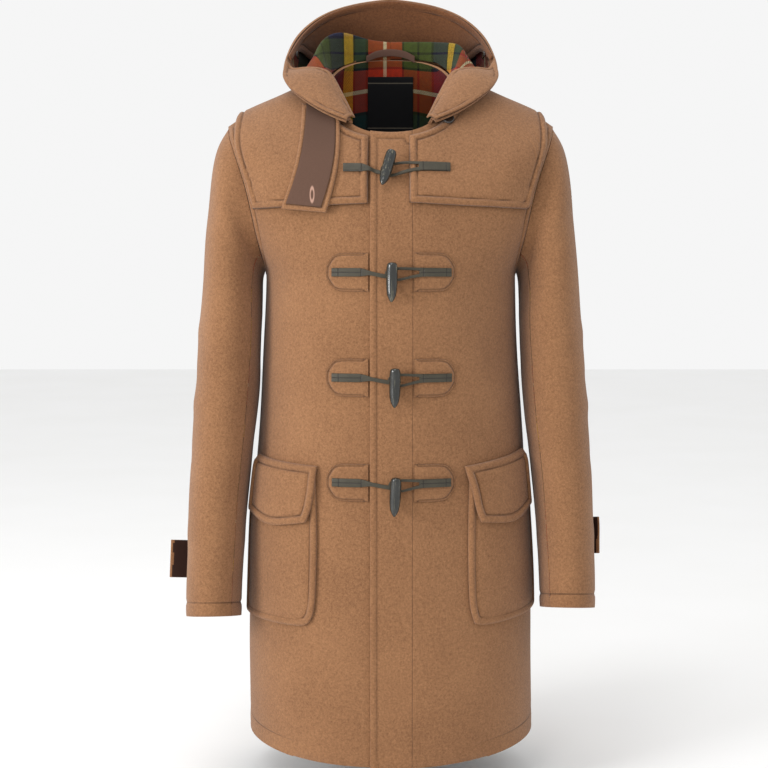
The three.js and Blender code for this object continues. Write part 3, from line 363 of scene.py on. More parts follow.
@dataclass(frozen=True)
class BrushedWool:
    """Heavy double-faced wool with a short brushed nap."""

    name: str = "brushed_wool"
    light: tuple = linear(158, 115, 80)
    dark: tuple = linear(108, 73, 48)
    painted_groove_shade: tuple = linear(60, 37, 24)
    fibres: tuple = (1300.0, 1300.0, 380.0)
    groove_half: float = 1.5
    pile_depth: float = 0.0016
    groove_depth: float = 0.001

    def material(self) -> bpy.types.Material:
        """Mottled camel wool with a clumped nap and a sunk line along each row of stitches, which
        has shade painted into it.
        """
        shader = Shader(self.name)
        cloud = shader.noise(scale=11.0, detail=3.0)
        clumps = shader.noise(scale=330.0, detail=3.0, rough=0.66)
        nap = shader.noise(scale=900.0, detail=3.0, rough=0.75)
        streaks = shader.stretched(self.fibres)
        fibre = shader.noise(scale=1.0, detail=3.0, rough=0.6, where=streaks)
        tone = cloud.swing(0.5) + clumps.swing(1.3) + nap.swing(1.5) + 0.5
        mottled = shader.mix(tone.limited(), self.dark, self.light)
        groove = shader.attribute(SEAM_MARK).ridge(0.0, self.groove_half)
        # Painted shade: the wool turns towards the shade colour along the stitch grooves.
        colour = shader.mix(groove * 0.72, mottled, self.painted_groove_shade)
        pile = clumps * 0.45 + nap * 0.3 + fibre * 0.25
        cloth = shader.bump(pile, self.pile_depth, strength=0.75)
        normal = shader.bump(1.0 - groove, self.groove_depth, strength=0.8, under=cloth)
        return shader.finish(colour, roughness=0.96, normal=normal, Sheen_Weight=0.14,
                             Sheen_Roughness=0.55, Specular_IOR_Level=0.1)


class Thread(Enum):
    """Yarn colours of the tartan."""

    CREAM = linear(204, 182, 146)
    RED = linear(158, 44, 24)
    GREEN = linear(56, 66, 26)
    TEAL = linear(20, 46, 46)
    NAVY = linear(22, 24, 50)
    YELLOW = linear(196, 152, 34)
    BLACK = linear(16, 14, 15)


@dataclass(frozen=True)
class TartanLining:
    """The wool's woven inner face, in a common check charted in millimetres."""

    name: str = "tartan_lining"
    hollow: tuple = linear(40, 33, 28)
    twill: float = 0.003
    chart: tuple = (
        (2, Thread.CREAM), (22, Thread.RED), (3, Thread.BLACK), (20, Thread.GREEN),
        (3, Thread.BLACK), (20, Thread.GREEN), (4, Thread.BLACK), (28, Thread.NAVY),
        (3, Thread.BLACK), (17, Thread.YELLOW), (3, Thread.BLACK), (17, Thread.TEAL),
        (4, Thread.BLACK), (22, Thread.RED), (2, Thread.CREAM),
    )

    def material(self) -> bpy.types.Material:
        """Warp and weft bands crossing in a twill, softly brushed, dark between the fibres."""
        shader = Shader(self.name)
        cloth = shader.own_map(LINING_MAP)
        total = sum(width for width, _ in self.chart)
        stops, at = [], 0.0
        for width, thread in self.chart:
            stops.append((at / total, thread.value))
            at += width
        ramp = {"interpolation": "CONSTANT", "stops": stops}
        axes = [shader.along(axis, cloth) for axis in "XY"]
        warp, weft = (shader.node("ShaderNodeValToRGB", ramp, {0: (axis / (total * MM)).wrapped()})
                      for axis in axes)
        twill = ((axes[0] + axes[1]) / self.twill).wrapped().above(0.5)
        fuzz = shader.noise(scale=620.0, detail=3.0, rough=0.75)
        pile = shader.noise(scale=240.0, detail=3.0, rough=0.6)
        colour = shader.mix((twill * 0.5 + 0.25 + fuzz.swing(0.5)).limited(), warp, weft)
        colour = shader.mix(((pile - 0.35) * 0.9).limited(), colour, self.hollow)
        normal = shader.bump(twill * 0.2 + fuzz * 0.4 + pile * 0.6, depth=0.0014, strength=0.8)
        return shader.finish(colour, roughness=0.95, normal=normal, Sheen_Weight=0.08,
                             Specular_IOR_Level=0.1)


@dataclass(frozen=True)
class GroovedLeather:
    """Matt grey-brown leather of the straps and loops."""

    name: str = "strap_leather"
    low: tuple = linear(36, 34, 27)
    high: tuple = linear(78, 73, 60)
    thread: tuple = linear(30, 24, 20)
    heights: tuple = (-0.127, -0.259, -0.396, -0.5335)
    rows: tuple = (-0.0385, -0.0685, 0.0425, 0.0725)
    groove_from: float = 0.0385
    line_half: float = 0.0009

    def material(self) -> bpy.types.Material:
        """Fine grain with a pressed groove along each strap and cross rows of stitches."""
        shader = Shader(self.name)
        grain = shader.noise(scale=900.0, detail=4.0, rough=0.65)
        wear = shader.noise(scale=60.0)
        across, up = shader.along("X"), shader.along("Z")
        groove = sum(up.ridge(height, self.line_half) for height in self.heights)
        groove = groove * abs(across).above(self.groove_from)
        line = (groove + sum(across.ridge(row, self.line_half) for row in self.rows)).limited()
        colour = shader.mix(wear * 0.5 + grain * 0.5, self.low, self.high)
        colour = shader.mix(line * 0.85, colour, self.thread)
        pressed = shader.bump(1.0 - line, depth=0.0006, strength=0.8)
        normal = shader.bump(grain, depth=0.0004, strength=0.6, under=pressed)
        return shader.finish(colour, roughness=0.46, normal=normal, Specular_IOR_Level=0.32)


@dataclass(frozen=True)
class PolishedHorn:
    """Dark horn with pale streaks along its length."""

    name: str = "polished_horn"
    dark: tuple = linear(25, 26, 22)
    pale: tuple = linear(150, 144, 118)
    stretch: tuple = (420.0, 420.0, 26.0)
    streak_from: float = 0.56

    def material(self) -> bpy.types.Material:
        """Streaked horn under a thin polish."""
        shader = Shader(self.name)
        streaks = shader.stretched(self.stretch)
        streak = shader.noise(scale=1.0, detail=4.0, rough=0.6, where=streaks)
        mask = ((streak - self.streak_from) * 6.0).limited()
        colour = shader.mix(mask * 0.5, self.dark, self.pale)
        normal = shader.bump(streak, depth=0.0004, strength=0.35)
        return shader.finish(colour, roughness=0.26, normal=normal, Coat_Weight=0.4,
                             Coat_Roughness=0.15)


@dataclass(frozen=True)
class PlainCloth:
    """Thin woven cloth of the hanger, the cuff tabs' inner side and the bare label."""

    name: str
    colour: tuple
    rules: tuple = ()
    rule_colour: tuple = linear(120, 112, 98)
    rule_half: float = 0.0008

    def material(self) -> bpy.types.Material:
        """A plain weave, with thin rules across it at the heights given."""
        shader = Shader(self.name)
        grain = shader.noise(scale=1400.0, detail=3.0, rough=0.6)
        colour = shader.mix(grain, darkened(self.colour, 0.7), self.colour)
        if self.rules:
            height = shader.along("Z")
            lines = sum(height.ridge(rule, self.rule_half) for rule in self.rules)
            colour = shader.mix(lines.above(0.01) * 0.5, colour, self.rule_colour)
        normal = shader.bump(grain, depth=0.0002, strength=0.5)
        return shader.finish(colour, roughness=0.85, normal=normal, Specular_IOR_Level=0.2)


@dataclass(frozen=True)
class TabLining:
    """Brown lining cloth of the throat tab, with a pale buttonhole, a turned low end and painted
    shade at its top.
    """

    name: str = "tab_lining"
    colour: tuple = linear(98, 72, 59)
    pale: tuple = linear(184, 146, 128)
    slubs: tuple = (900.0, 900.0, 60.0)
    buttonhole: tuple = (-0.1025, -0.1585)
    half: tuple = (0.0029, 0.0102)
    turned: float = -0.1735
    fold_half: float = 0.0009
    shade_from: float = 0.11
    shade_over: float = 0.09

    def material(self) -> bpy.types.Material:
        """A slubbed cloth with shade painted in towards its top, under the hood."""
        shader = Shader(self.name)
        grain = shader.noise(scale=1500.0, detail=3.0, rough=0.6)
        slub = shader.noise(scale=1.0, detail=2.0, rough=0.6, where=shader.stretched(self.slubs))
        place = shader.along("X"), shader.along("Z")
        darker = darkened(self.colour, 0.5)
        # Painted shade: the cloth darkens towards the top, where the hood shades it.
        high = ((place[1] + self.shade_from) / self.shade_over).limited()
        tone = (grain * 0.5 + slub * 0.4 + 0.15 - high * 0.5).limited()
        colour = shader.mix(tone, darker, self.colour)
        fold = place[1].ridge(self.turned, self.fold_half)
        colour = shader.mix(fold * 0.7, colour, darker)
        across, up = ((place[i] - self.buttonhole[i]) / self.half[i] for i in (0, 1))
        ring = (across * across + up * up).root().ridge(0.85, 0.36)
        colour = shader.mix((ring * 1.5).limited() * 0.75, colour, self.pale)
        normal = shader.bump(grain * 0.6 + ring, depth=0.0004, strength=0.6)
        return shader.finish(colour, roughness=0.8, normal=normal, Specular_IOR_Level=0.2)


@dataclass
class Wardrobe:
    """Every finish, made once."""

    made: dict = field(default_factory=dict)

    def cut(self) -> None:
        """Make the materials."""
        button_streaks = (300.0, 300.0, 300.0)
        finishes = (
            BrushedWool(),
            # The same camel wool made darker and redder: painted shade on the hood's top facing.
            BrushedWool("facing_wool", linear(124, 80, 50), linear(80, 49, 30), linear(38, 23, 15)),
            TartanLining(),
            GroovedLeather(),
            PolishedHorn(),
            PolishedHorn("dark_button", linear(38, 30, 26), linear(92, 74, 58), button_streaks),
            PlainCloth("brown_binding", linear(84, 60, 50)),
            TabLining(),
            # Brown binding, darker still as painted shade, for the cuff tabs' inner side.
            PlainCloth("binding_with_painted_shade", linear(54, 34, 28)),
            PlainCloth("bare_label", linear(20, 20, 22), rules=(-0.002, -0.064)),
        )
        for finish in finishes:
            self.made[finish.name] = finish.material()

    def __getitem__(self, name: str) -> bpy.types.Material:
        """A finish by its name."""
        return self.made[name]


def arm_axis(z: np.ndarray) -> tuple[np.ndarray, np.ndarray]:
    """The middle line of a sleeve.

    Args:
        z: heights in metres.

    Returns:
        Its distance from the coat's middle, and its depth, at those heights.
    """
    heights = (-0.745, -0.596, -0.438, -0.300, -0.150, -0.060)
    across = np.interp(z, heights, (0.241, 0.2365, 0.223, 0.2165, 0.208, 0.200))
    depth = np.interp(z, heights, (-0.073, -0.062, -0.042, -0.020, -0.006, 0.0))
    return across, depth


@dataclass(frozen=True)
class Crease:
    """A listed soft fold: its middle, its direction, its size in millimetres."""

    middle: tuple[float, float]
    slope: float
    length: float
    width: float
    depth: float

    def height(self, x: np.ndarray, z: np.ndarray) -> np.ndarray:
        """How far the fold lifts the cloth at places seen from the front.

        Args:
            x: distances across, in metres.
            z: heights, in metres.

        Returns:
            Lifts in metres.
        """
        turn = math.radians(self.slope)
        dx, dz = x - self.middle[0] * MM, z - self.middle[1] * MM
        along = (dx * math.cos(turn) + dz * math.sin(turn)) / (self.length * MM)
        beside = (dz * math.cos(turn) - dx * math.sin(turn)) / (self.width * MM)
        return self.depth * MM * np.exp(-along * along - beside * beside)


TRUNK_CREASES = (
    Crease((-70, -480), 84, 170, 34, 1.6), Crease((84, -450), 96, 190, 36, 1.6),
    Crease((-120, -330), 72, 90, 22, -1.8), Crease((128, -330), 108, 90, 22, -1.8),
    Crease((-60, -800), 88, 110, 40, 1.8), Crease((70, -800), 92, 120, 38, 1.6),
)
ARM_CREASES = (
    Crease((212, -232), 58, 44, 12, -2.2), Crease((238, -352), 24, 34, 12, 2.2),
    Crease((232, -396), -18, 36, 11, -2.2), Crease((246, -446), 16, 34, 12, 2.4),
    Crease((240, -505), -14, 34, 12, -1.8), Crease((246, -620), 10, 36, 14, 1.8),
)


def fade(values: np.ndarray, start: float, reach: float) -> np.ndarray:
    """Zero up to the start, one past the reach beyond it, and even between the two."""
    return np.clip((values - start) / reach, 0, 1)


def drape(points: np.ndarray, wraps: Outward) -> np.ndarray:
    """How the cloth gives at each point, the same for all that lies there.

    Args:
        points: places in metres, one in each row.
        wraps: what the cloth goes round.

    Returns:
        Moves in metres, one in each row.
    """
    x, y, z = points.T
    moves = np.zeros_like(points)
    if wraps is Outward.TRUNK:
        radial = np.stack([x / TRUNK_HALF[0] ** 2, y / TRUNK_HALF[1] ** 2], axis=1)
        lift = sum(crease.height(x, z) for crease in TRUNK_CREASES) * fade(-y, 0.0, 0.05)
        ripple = TRUNK_RIPPLE * np.sin(x * 31 + z * 9) * np.sin(z * 21 - x * 5)
        lift = lift + ripple * fade(-z, 0.22, 0.1)
    elif wraps is Outward.ARM:
        across, depth = arm_axis(z)
        side = np.sign(x)
        radial = np.stack([(np.abs(x) - across) * side, y - depth], axis=1)
        beside = np.abs(x) + RIGHT_ARM_SHIFT * (side < 0)
        lift = sum(crease.height(beside, z) for crease in ARM_CREASES)
        lift = lift + ARM_RIPPLE * np.sin(z * 46 + side) * np.sin(x * 40 + y * 30)
        lift = lift * fade(-z, 0.11, 0.08)
    else:
        return moves
    size = np.maximum(np.linalg.norm(radial, axis=1, keepdims=True), 1e-9)
    moves[:, :2] = radial / size * lift[:, None]
    return moves


def outward_at(point: Vector, wraps: Outward) -> Vector:
    """The direction away from what a cloth piece goes round.

    Args:
        point: a place on the piece, in metres.
        wraps: what the piece goes round.

    Returns:
        The direction, of no set length, or no direction where the side can't be told.
    """
    if wraps is Outward.ARM:
        across, depth = arm_axis(np.array([point.z]))
        beside = point.x - math.copysign(float(across[0]), point.x)
        return Vector((beside, point.y - float(depth[0]), 0))
    if wraps is Outward.POUCH:
        return Vector((-point.x, -point.y, 0.04))
    if wraps is Outward.HOOD:
        far = math.hypot(point.x, point.y) > POUCH_REACH and point.z > -0.02
        return Vector((point.x, point.y, 0)) if far else Vector()
    return Vector((point.x, point.y, 0.02 if point.z < -0.2 else 0.1))


@dataclass(frozen=True)
class Seam:
    """A row of stitches beside an edge, with the cloth swelling between them, in millimetres."""

    inset: float
    puff: float
    dent: float = 1.2
    where: Callable[[np.ndarray], np.ndarray] | None = None
    level: bool = False
    flat_above: float = 1.0

    def lift(self, distance: np.ndarray, heights: np.ndarray) -> np.ndarray:
        """How far the cloth stands out beside the edge.

        Args:
            distance: how far points are from the edge, in millimetres.
            heights: their heights, in metres.

        Returns:
            Lifts in millimetres, which are below zero along the stitches.
        """
        swell = np.clip(1 - np.abs(distance / self.inset - 0.5) * 2, 0, 1) ** 0.6 * self.puff
        swell = swell * np.clip((self.flat_above - heights) / SWELL_FADE, SWELL_LEFT, 1)
        dent = self.dent * np.exp(-((distance - self.inset) / STITCH_SPREAD) ** 2)
        return swell - dent


def read(items: Sequence, name: str, size: int = 1, kind: type = float) -> np.ndarray:
    """One property of every item of a mesh.

    Args:
        items: vertices, loops, polygons or the like.
        name: the property.
        size: how many numbers it has.
        kind: what numbers they are.

    Returns:
        The numbers, with a row for each item where it has more than one.
    """
    values = np.empty(len(items) * size, dtype=kind)
    items.foreach_get(name, values)
    return values.reshape(-1, size) if size > 1 else values


def tree_of(places: np.ndarray) -> kdtree.KDTree:
    """A search tree for the nearest of some places.

    Args:
        places: the places, one in each row.

    Returns:
        The tree, which numbers them by their rows.
    """
    tree = kdtree.KDTree(len(places))
    for index, place in enumerate(places):
        tree.insert(place, index)
    tree.balance()
    return tree


class Surface:
    """A fine mesh in arrays: its places in metres, its normals and which side each part is on."""

    def __init__(self, mesh: bpy.types.Mesh) -> None:
        """Read the mesh.

        Args:
            mesh: the mesh, with its sides told apart by material number.
        """
        self.mesh = mesh
        self.points = read(mesh.vertices, "co", 3)
        self.normals = read(mesh.vertex_normals, "vector", 3)
        self.loops = read(mesh.loops, "vertex_index", kind=int)
        self.totals = read(mesh.polygons, "loop_total", kind=int)
        self.kinds = read(mesh.polygons, "material_index", kind=int)
        touched = np.zeros((len(self.points), 3), dtype=bool)
        touched[self.loops, np.repeat(self.kinds, self.totals)] = True
        self.outer = touched[:, WOOL_FACE]
        self.border = self.outer & (touched[:, EDGE_FACE] | touched[:, LINING_FACE])

    def edge_distance(self, seam: Seam) -> np.ndarray:
        """How far each point is from the stitched edge.

        Args:
            seam: the row of stitches.

        Returns:
            Distances in millimetres, large where no edge is stitched.
        """
        pairs = read(self.mesh.edges, "vertices", 2, int)
        pairs = pairs[self.border[pairs].all(axis=1)]
        first, second = self.points[pairs[:, 0]], self.points[pairs[:, 1]]
        if seam.level:
            run = second - first
            level = np.abs(run[:, 2]) < 0.6 * np.linalg.norm(run, axis=1)
            first, second = first[level], second[level]
        chosen = np.concatenate([first, second, (first + second) / 2])
        if seam.where is not None:
            chosen = chosen[seam.where(chosen)]
        if not len(chosen):
            return np.full(len(self.points), FAR_OFF)
        tree = tree_of(chosen)
        return np.array([tree.find(place)[2] for place in self.points]) / MM

    def pushed(self, where: Callable[[np.ndarray], np.ndarray]) -> np.ndarray:
        """Push cut edges out along their own faces, so that two pieces meet.

        Args:
            where: which points are on such an edge.

        Returns:
            Moves in metres, one in each row.
        """
        facing = read(self.mesh.polygons, "normal", 3) * (self.kinds == EDGE_FACE)[:, None]
        push = np.zeros_like(self.points)
        np.add.at(push, self.loops, np.repeat(facing, self.totals, axis=0))
        push = push / np.maximum(np.linalg.norm(push, axis=1, keepdims=True), 1.0)
        return push * (MEETING_PUSH * MM * where(self.points))[:, None]

    def sunk(self, depth: float) -> np.ndarray:
        """Turn the edges down on to what the cloth lies on, through the whole wall.

        Args:
            depth: how far they go down, in millimetres.

        Returns:
            Moves in metres, one in each row.
        """
        rim = tree_of(self.points[self.border])
        face = np.flatnonzero(self.outer)
        tree = tree_of(self.points[face])
        far = np.array([rim.find(place)[2] for place in self.points[face]]) / MM
        moves = self.normals[face] * (-depth * MM * np.exp(-(far / TURN_SPREAD) ** 2))[:, None]
        nearest = np.array([tree.find(place)[1] for place in self.points])
        return moves[nearest]

    def turn_band(self, seam: Seam) -> None:
        """Give the lining side the outer finish from the edge to the row of stitches."""
        rim = self.edge_distance(seam) < seam.inset
        first = np.concatenate([[0], np.cumsum(self.totals)[:-1]])
        self.kinds[(self.kinds == LINING_FACE) & rim[self.loops[first]]] = EDGE_FACE
        self.mesh.polygons.foreach_set("material_index", self.kinds)

    def map_lining(self) -> None:
        """Lay the lining's map round the neck's axis and down the cloth."""
        layer = self.mesh.uv_layers.new(name=LINING_MAP)
        x, y, z = self.points[self.loops].T
        reach = np.hypot(x, y)
        across = reach * np.arctan2(x, y) + CHECK_SHIFT[0]
        down = z + (reach - 0.1) * 0.5 + CHECK_SHIFT[1]
        layer.data.foreach_set("uv", np.stack([across, down], axis=1).ravel())


def area_of(faces: Sequence[bmesh.types.BMFace]) -> float:
    """The area of some faces."""
    return sum(face.calc_area() for face in faces)


def smooth_groups(shell: bmesh.types.BMesh) -> list[list[bmesh.types.BMFace]]:
    """Sort faces into groups that join without a sharp fold.

    Args:
        shell: the mesh.

    Returns:
        The groups, the largest first.
    """
    shell.faces.ensure_lookup_table()
    seen: set[int] = set()
    groups: list[list[bmesh.types.BMFace]] = []
    for seed in shell.faces:
        if seed.index in seen:
            continue
        group, waiting = [], [seed]
        seen.add(seed.index)
        while waiting:
            face = waiting.pop()
            group.append(face)
            for edge in face.edges:
                if edge.calc_face_angle(0.0) > SHARP_FOLD:
                    continue
                for other in edge.link_faces:
                    if other.index not in seen:
                        seen.add(other.index)
                        waiting.append(other)
        groups.append(group)
    groups.sort(key=lambda faces: -area_of(faces))
    return groups


@dataclass
class ClothPiece:
    """A cut of cloth or leather made from its node's form, finer and finished.

    Its cut is the flat piece's width, length and area, in metres.
    """

    node: str
    slot: str
    outside: str
    inside: str
    wraps: Outward = Outward.TRUNK
    levels: int = 2
    rounding: float = 0.8
    seams: tuple[Seam, ...] = ()
    sink: float = 0.0
    turned: Seam | None = None
    meets: Callable[[np.ndarray], np.ndarray] | None = None
    cut: tuple[float, float, float] | None = None
    rests_on: tuple[str, ...] = ()

    def build(self, frame: dict, wardrobe: Wardrobe) -> bpy.types.Object:
        """Make the piece and let it stand for its node.

        Args:
            wardrobe: the finishes.

        Returns:
            The new object.
        """
        source = frame["nodes"][self.node]
        rough = self._shell(source.data)
        carrier = bpy.data.objects.new(f"{self.node}_form", rough)
        bpy.context.scene.collection.objects.link(carrier)
        self._modifiers(carrier)
        graph = bpy.context.evaluated_depsgraph_get()
        fine = bpy.data.meshes.new_from_object(carrier.evaluated_get(graph))
        bpy.data.objects.remove(carrier)
        self._shape(fine)
        piece = bpy.data.objects.new(f"{self.node}_cloth", fine)
        bpy.context.scene.collection.objects.link(piece)
        for number, name in enumerate((self.outside, self.inside, self.outside)):
            fine.materials[number] = wardrobe[name]
        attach(piece, "root")
        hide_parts(self.node)
        log.info("%s: %d faces", piece.name, len(fine.polygons))
        return piece

    def _shell(self, mesh: bpy.types.Mesh) -> bpy.types.Mesh:
        """The node's mesh as quads, with its sides told apart and its edges held.

        Args:
            mesh: the node's loose triangles.

        Returns:
            A coarse mesh for the modifiers.
        """
        shell = bmesh.new()
        shell.from_mesh(mesh)
        bmesh.ops.remove_doubles(shell, verts=shell.verts, dist=WELD)
        bmesh.ops.join_triangles(shell, faces=shell.faces, angle_face_threshold=QUAD_BEND,
                                 angle_shape_threshold=QUAD_SKEW)
        self._tell_sides(shell)
        crease = shell.edges.layers.float.new("crease_edge")
        for edge in shell.edges:
            kinds = [face.material_index for face in edge.link_faces]
            within = len(set(kinds)) == 1 and kinds[0] != EDGE_FACE
            if len(kinds) == 2 and edge.calc_face_angle(0.0) > SHARP_FOLD and not within:
                edge[crease] = 1.0
        form = bpy.data.meshes.new(f"{self.node}_form")
        shell.to_mesh(form)
        shell.free()
        for name in ("outer", "lining", "edge"):
            form.materials.append(bpy.data.materials.get(name) or bpy.data.materials.new(name))
        return form

    def _tell_sides(self, shell: bmesh.types.BMesh) -> None:
        """Mark each face as the outer side, the lining side or the cut edge.

        Args:
            shell: the coarse mesh.
        """
        groups = smooth_groups(shell)
        for face in shell.faces:
            face.material_index = EDGE_FACE
            face.smooth = True
        least = BROAD_SHARE * area_of(groups[0])
        broad = [group for group in groups if area_of(group) > least]
        scores = [sum(face.normal.dot(outward_at(face.calc_center_median(), self.wraps))
                      * face.calc_area() for face in group) for group in broad]
        middle = sum(scores) / len(scores) if len(broad) == 2 else 0.0
        for group, score in zip(broad, scores):
            kind = WOOL_FACE if len(broad) == 1 or score > middle else LINING_FACE
            for face in group:
                face.material_index = kind
        for _ in range(3):
            for face in [face for face in shell.faces if face.material_index == EDGE_FACE]:
                near = {other.material_index for vert in face.verts for other in vert.link_faces}
                if len(near - {EDGE_FACE}) == 1:
                    face.material_index = (near - {EDGE_FACE}).pop()

    def _modifiers(self, carrier: bpy.types.Object) -> None:
        """Smooth the form and round its cut edges.

        Args:
            carrier: an object that holds the coarse mesh.
        """
        smooth = carrier.modifiers.new("smooth", "SUBSURF")
        smooth.levels = smooth.render_levels = self.levels
        if self.rounding:
            edges = carrier.modifiers.new("rounding", "BEVEL")
            edges.width = self.rounding * MM
            edges.segments = 2
            edges.limit_method = "ANGLE"
            edges.angle_limit = ROUNDED_FOLD

    def _shape(self, mesh: bpy.types.Mesh) -> None:
        """Drape the mesh, press its stitching in and map its lining.

        Args:
            mesh: the fine mesh, which is changed.
        """
        cloth = Surface(mesh)
        moved = cloth.points + drape(cloth.points, self.wraps)
        nearest = np.full(len(cloth.points), FAR_OFF)
        for seam in self.seams:
            distance = cloth.edge_distance(seam)
            nearest = np.minimum(nearest, np.abs(distance - seam.inset))
            lift = seam.lift(distance, cloth.points[:, 2])
            moved = moved + cloth.normals * (lift * MM * cloth.outer)[:, None]
        if self.meets is not None:
            moved = moved + cloth.pushed(self.meets)
        if self.sink:
            moved = moved + cloth.sunk(self.sink)
        if self.wraps is Outward.HOOD:
            moved = moved + settled_on_neck(cloth.points)
        if self.turned:
            cloth.turn_band(self.turned)
        mesh.vertices.foreach_set("co", moved.ravel())
        marks = mesh.attributes.new(SEAM_MARK, "FLOAT", "POINT")
        marks.data.foreach_set("value", nearest.astype(np.float32))
        cloth.map_lining()
        mesh.update()


def settled_on_neck(points: np.ndarray) -> np.ndarray:
    """Brings the hood's neck edge down on to the neckline it is sewn to.

    Args:
        points: places in metres.

    Returns:
        Moves in metres, one in each row.
    """
    x, y, z = points.T
    turn = np.degrees(np.arctan2(np.abs(x), -y))
    seam = np.interp(turn, (30, 50, 73, 90, 107, 123, 140, 160, 180),
                     (-64, -45, -18, 0, 12, 21, 27, 29.5, 30)) * MM
    inner = np.hypot(x, y) < np.interp(turn, (30, 60, 90, 180), (0.098, 0.089, 0.088, 0.086))
    moves = np.zeros_like(points)
    moves[:, 2] = -NECK_DROP * inner * np.exp(-((z - seam - 0.0026) / NECK_SPREAD) ** 2)
    return moves


def near_hem(points: np.ndarray, top: float = -0.885) -> np.ndarray:
    """Points at the hem."""
    return points[:, 2] < top


def near_cuff(points: np.ndarray, top: float = -0.69) -> np.ndarray:
    """Points at the cuff."""
    return points[:, 2] < top


def band_edge(points: np.ndarray, free: float = -0.024, top: float = -0.085) -> np.ndarray:
    """Points on the band's free edge and top."""
    return (points[:, 0] < free) | (points[:, 2] > top)


def armhole(points: np.ndarray, low: float = -0.262, beside: float = 0.12) -> np.ndarray:
    """Points on a panel's edge round the arm."""
    return (points[:, 2] > low) & (np.abs(points[:, 0]) > beside)


def side_seam(points: np.ndarray, high: float = -0.27, beside: float = 0.13) -> np.ndarray:
    """Points on the edge of a panel at the side seam."""
    return (points[:, 2] < high) & (np.abs(points[:, 0]) > beside)


def yoke_edge(points: np.ndarray, oval: float = 0.93, reach: float = 0.098) -> np.ndarray:
    """Points on the yoke's edge, but for its neck edge."""
    return np.hypot(points[:, 0] / oval, points[:, 1]) > reach


def hood_rim(points: np.ndarray, reach: float = 0.1, join: float = 0.002) -> np.ndarray:
    """Points on the hood's rim, but for the join of its halves."""
    return (np.hypot(points[:, 0], points[:, 1]) > reach) & (np.abs(points[:, 0]) > join)


def whole_rim(points: np.ndarray, front: float = -0.05) -> np.ndarray:
    """Points on the hood's rim and its front corners."""
    return hood_rim(points) | (points[:, 1] < front)


def tab_end(points: np.ndarray, beside: float = 0.288) -> np.ndarray:
    """Points on a cuff tab's loose end."""
    return np.abs(points[:, 0]) > beside


def patch_curve(points: np.ndarray, beside: float = 0.037) -> np.ndarray:
    """Points on a patch's edge, but for the one beside the band."""
    return np.abs(points[:, 0]) > beside


class SubAssembly:
    """Pieces that are dressed together."""

    def pieces(self) -> Iterator[ClothPiece]:
        """The pieces in the order in which they are made."""
        raise NotImplementedError

    def build(self, frame: dict, wardrobe: Wardrobe) -> None:
        """Make every piece."""
        for piece in self.pieces():
            piece.build(frame, wardrobe)


@dataclass
class Body(SubAssembly):
    """Fronts, band, back and yoke."""

    hem: Seam = Seam(20.0, 0.3, where=near_hem, level=True)
    arm: Seam = Seam(9.0, 1.1, where=armhole)
    band: Seam = Seam(9.5, 1.0, where=band_edge)
    yoke: Seam = Seam(10.5, 2.3, 1.6, yoke_edge, flat_above=-0.03)
    cuts: tuple = (("front_right", (0.33, 0.86, 0.256)), ("front_left", (0.29, 0.84, 0.207)),
                   ("back", (0.50, 0.94, 0.455)))

    def pieces(self) -> Iterator[ClothPiece]:
        """The trunk's cloth."""
        for node, cut in self.cuts:
            yield ClothPiece(node, *LINED_WOOL, levels=3, seams=(self.hem, self.arm),
                             meets=side_seam, cut=cut, rests_on=("shoulder_yoke",))
        yield ClothPiece("front_band", *LINED_WOOL, levels=3, seams=(self.band, self.hem),
                         cut=(0.056, 0.85, 0.047), rests_on=("front_left",))
        yield ClothPiece("shoulder_yoke", *PLAIN_WOOL, levels=3, seams=(self.yoke,), sink=2.6,
                         cut=(0.52, 0.50, 0.164), rests_on=("back", "front_left", "front_right"))


@dataclass
class Sleeves(SubAssembly):
    """Two-piece sleeves with their tabs and buttons."""

    cuff: Seam = Seam(18.0, 0.4, where=near_cuff, level=True)
    tab: Seam = Seam(6.0, 0.6)
    turned_end: Seam = Seam(3.4, 0.0, where=tab_end)

    def pieces(self) -> Iterator[ClothPiece]:
        """Both arms."""
        for word in ("right", "left"):
            upper = f"sleeve_upper_{word}"
            yield ClothPiece(upper, *LINED_WOOL, Outward.ARM, 3, seams=(self.cuff,),
                             cut=(0.32, 0.70, 0.150), rests_on=("shoulder_yoke",))
            yield ClothPiece(f"sleeve_under_{word}", *LINED_WOOL, Outward.ARM, 3,
                             seams=(self.cuff,), cut=(0.13, 0.52, 0.0475), rests_on=(upper,))
            yield ClothPiece(f"cuff_tab_{word}", *BOUND_WOOL, Outward.ARM, seams=(self.tab,),
                             turned=self.turned_end, cut=(0.045, 0.12, 0.0049),
                             rests_on=(upper,))
            yield ClothPiece(f"cuff_button_{word}", *BUTTON, Outward.ARM, rounding=0)


@dataclass
class Hood(SubAssembly):
    """The hood lying back, with its facings and studs."""

    rim: Seam = Seam(12.0, 1.6, 1.4, where=hood_rim)
    turned: Seam = Seam(15.0, 0.0, where=whole_rim)
    facing: Seam = Seam(6.0, 0.8)
    band: Seam = Seam(10.0, 1.2)

    def pieces(self) -> Iterator[ClothPiece]:
        """The hood's halves and trim."""
        for word in ("right", "left"):
            half = f"hood_{word}"
            yield ClothPiece(half, *LINED_WOOL, Outward.HOOD, 3, seams=(self.rim,),
                             turned=self.turned, cut=(0.34, 0.36, 0.081), rests_on=("back",))
            yield ClothPiece(f"hood_facing_{word}", *PLAIN_WOOL, Outward.POUCH,
                             seams=(self.facing,), cut=(0.05, 0.18, 0.0068), rests_on=(half,))
            yield ClothPiece(f"hood_snap_{word}", *BUTTON, Outward.POUCH, rounding=0)
        yield ClothPiece("hood_facing_top", *FACING_WOOL_PAINTED_SHADE, Outward.POUCH, 3, seams=(self.band,),
                         cut=(0.08, 0.42, 0.025), rests_on=("hood_right", "hood_left"))


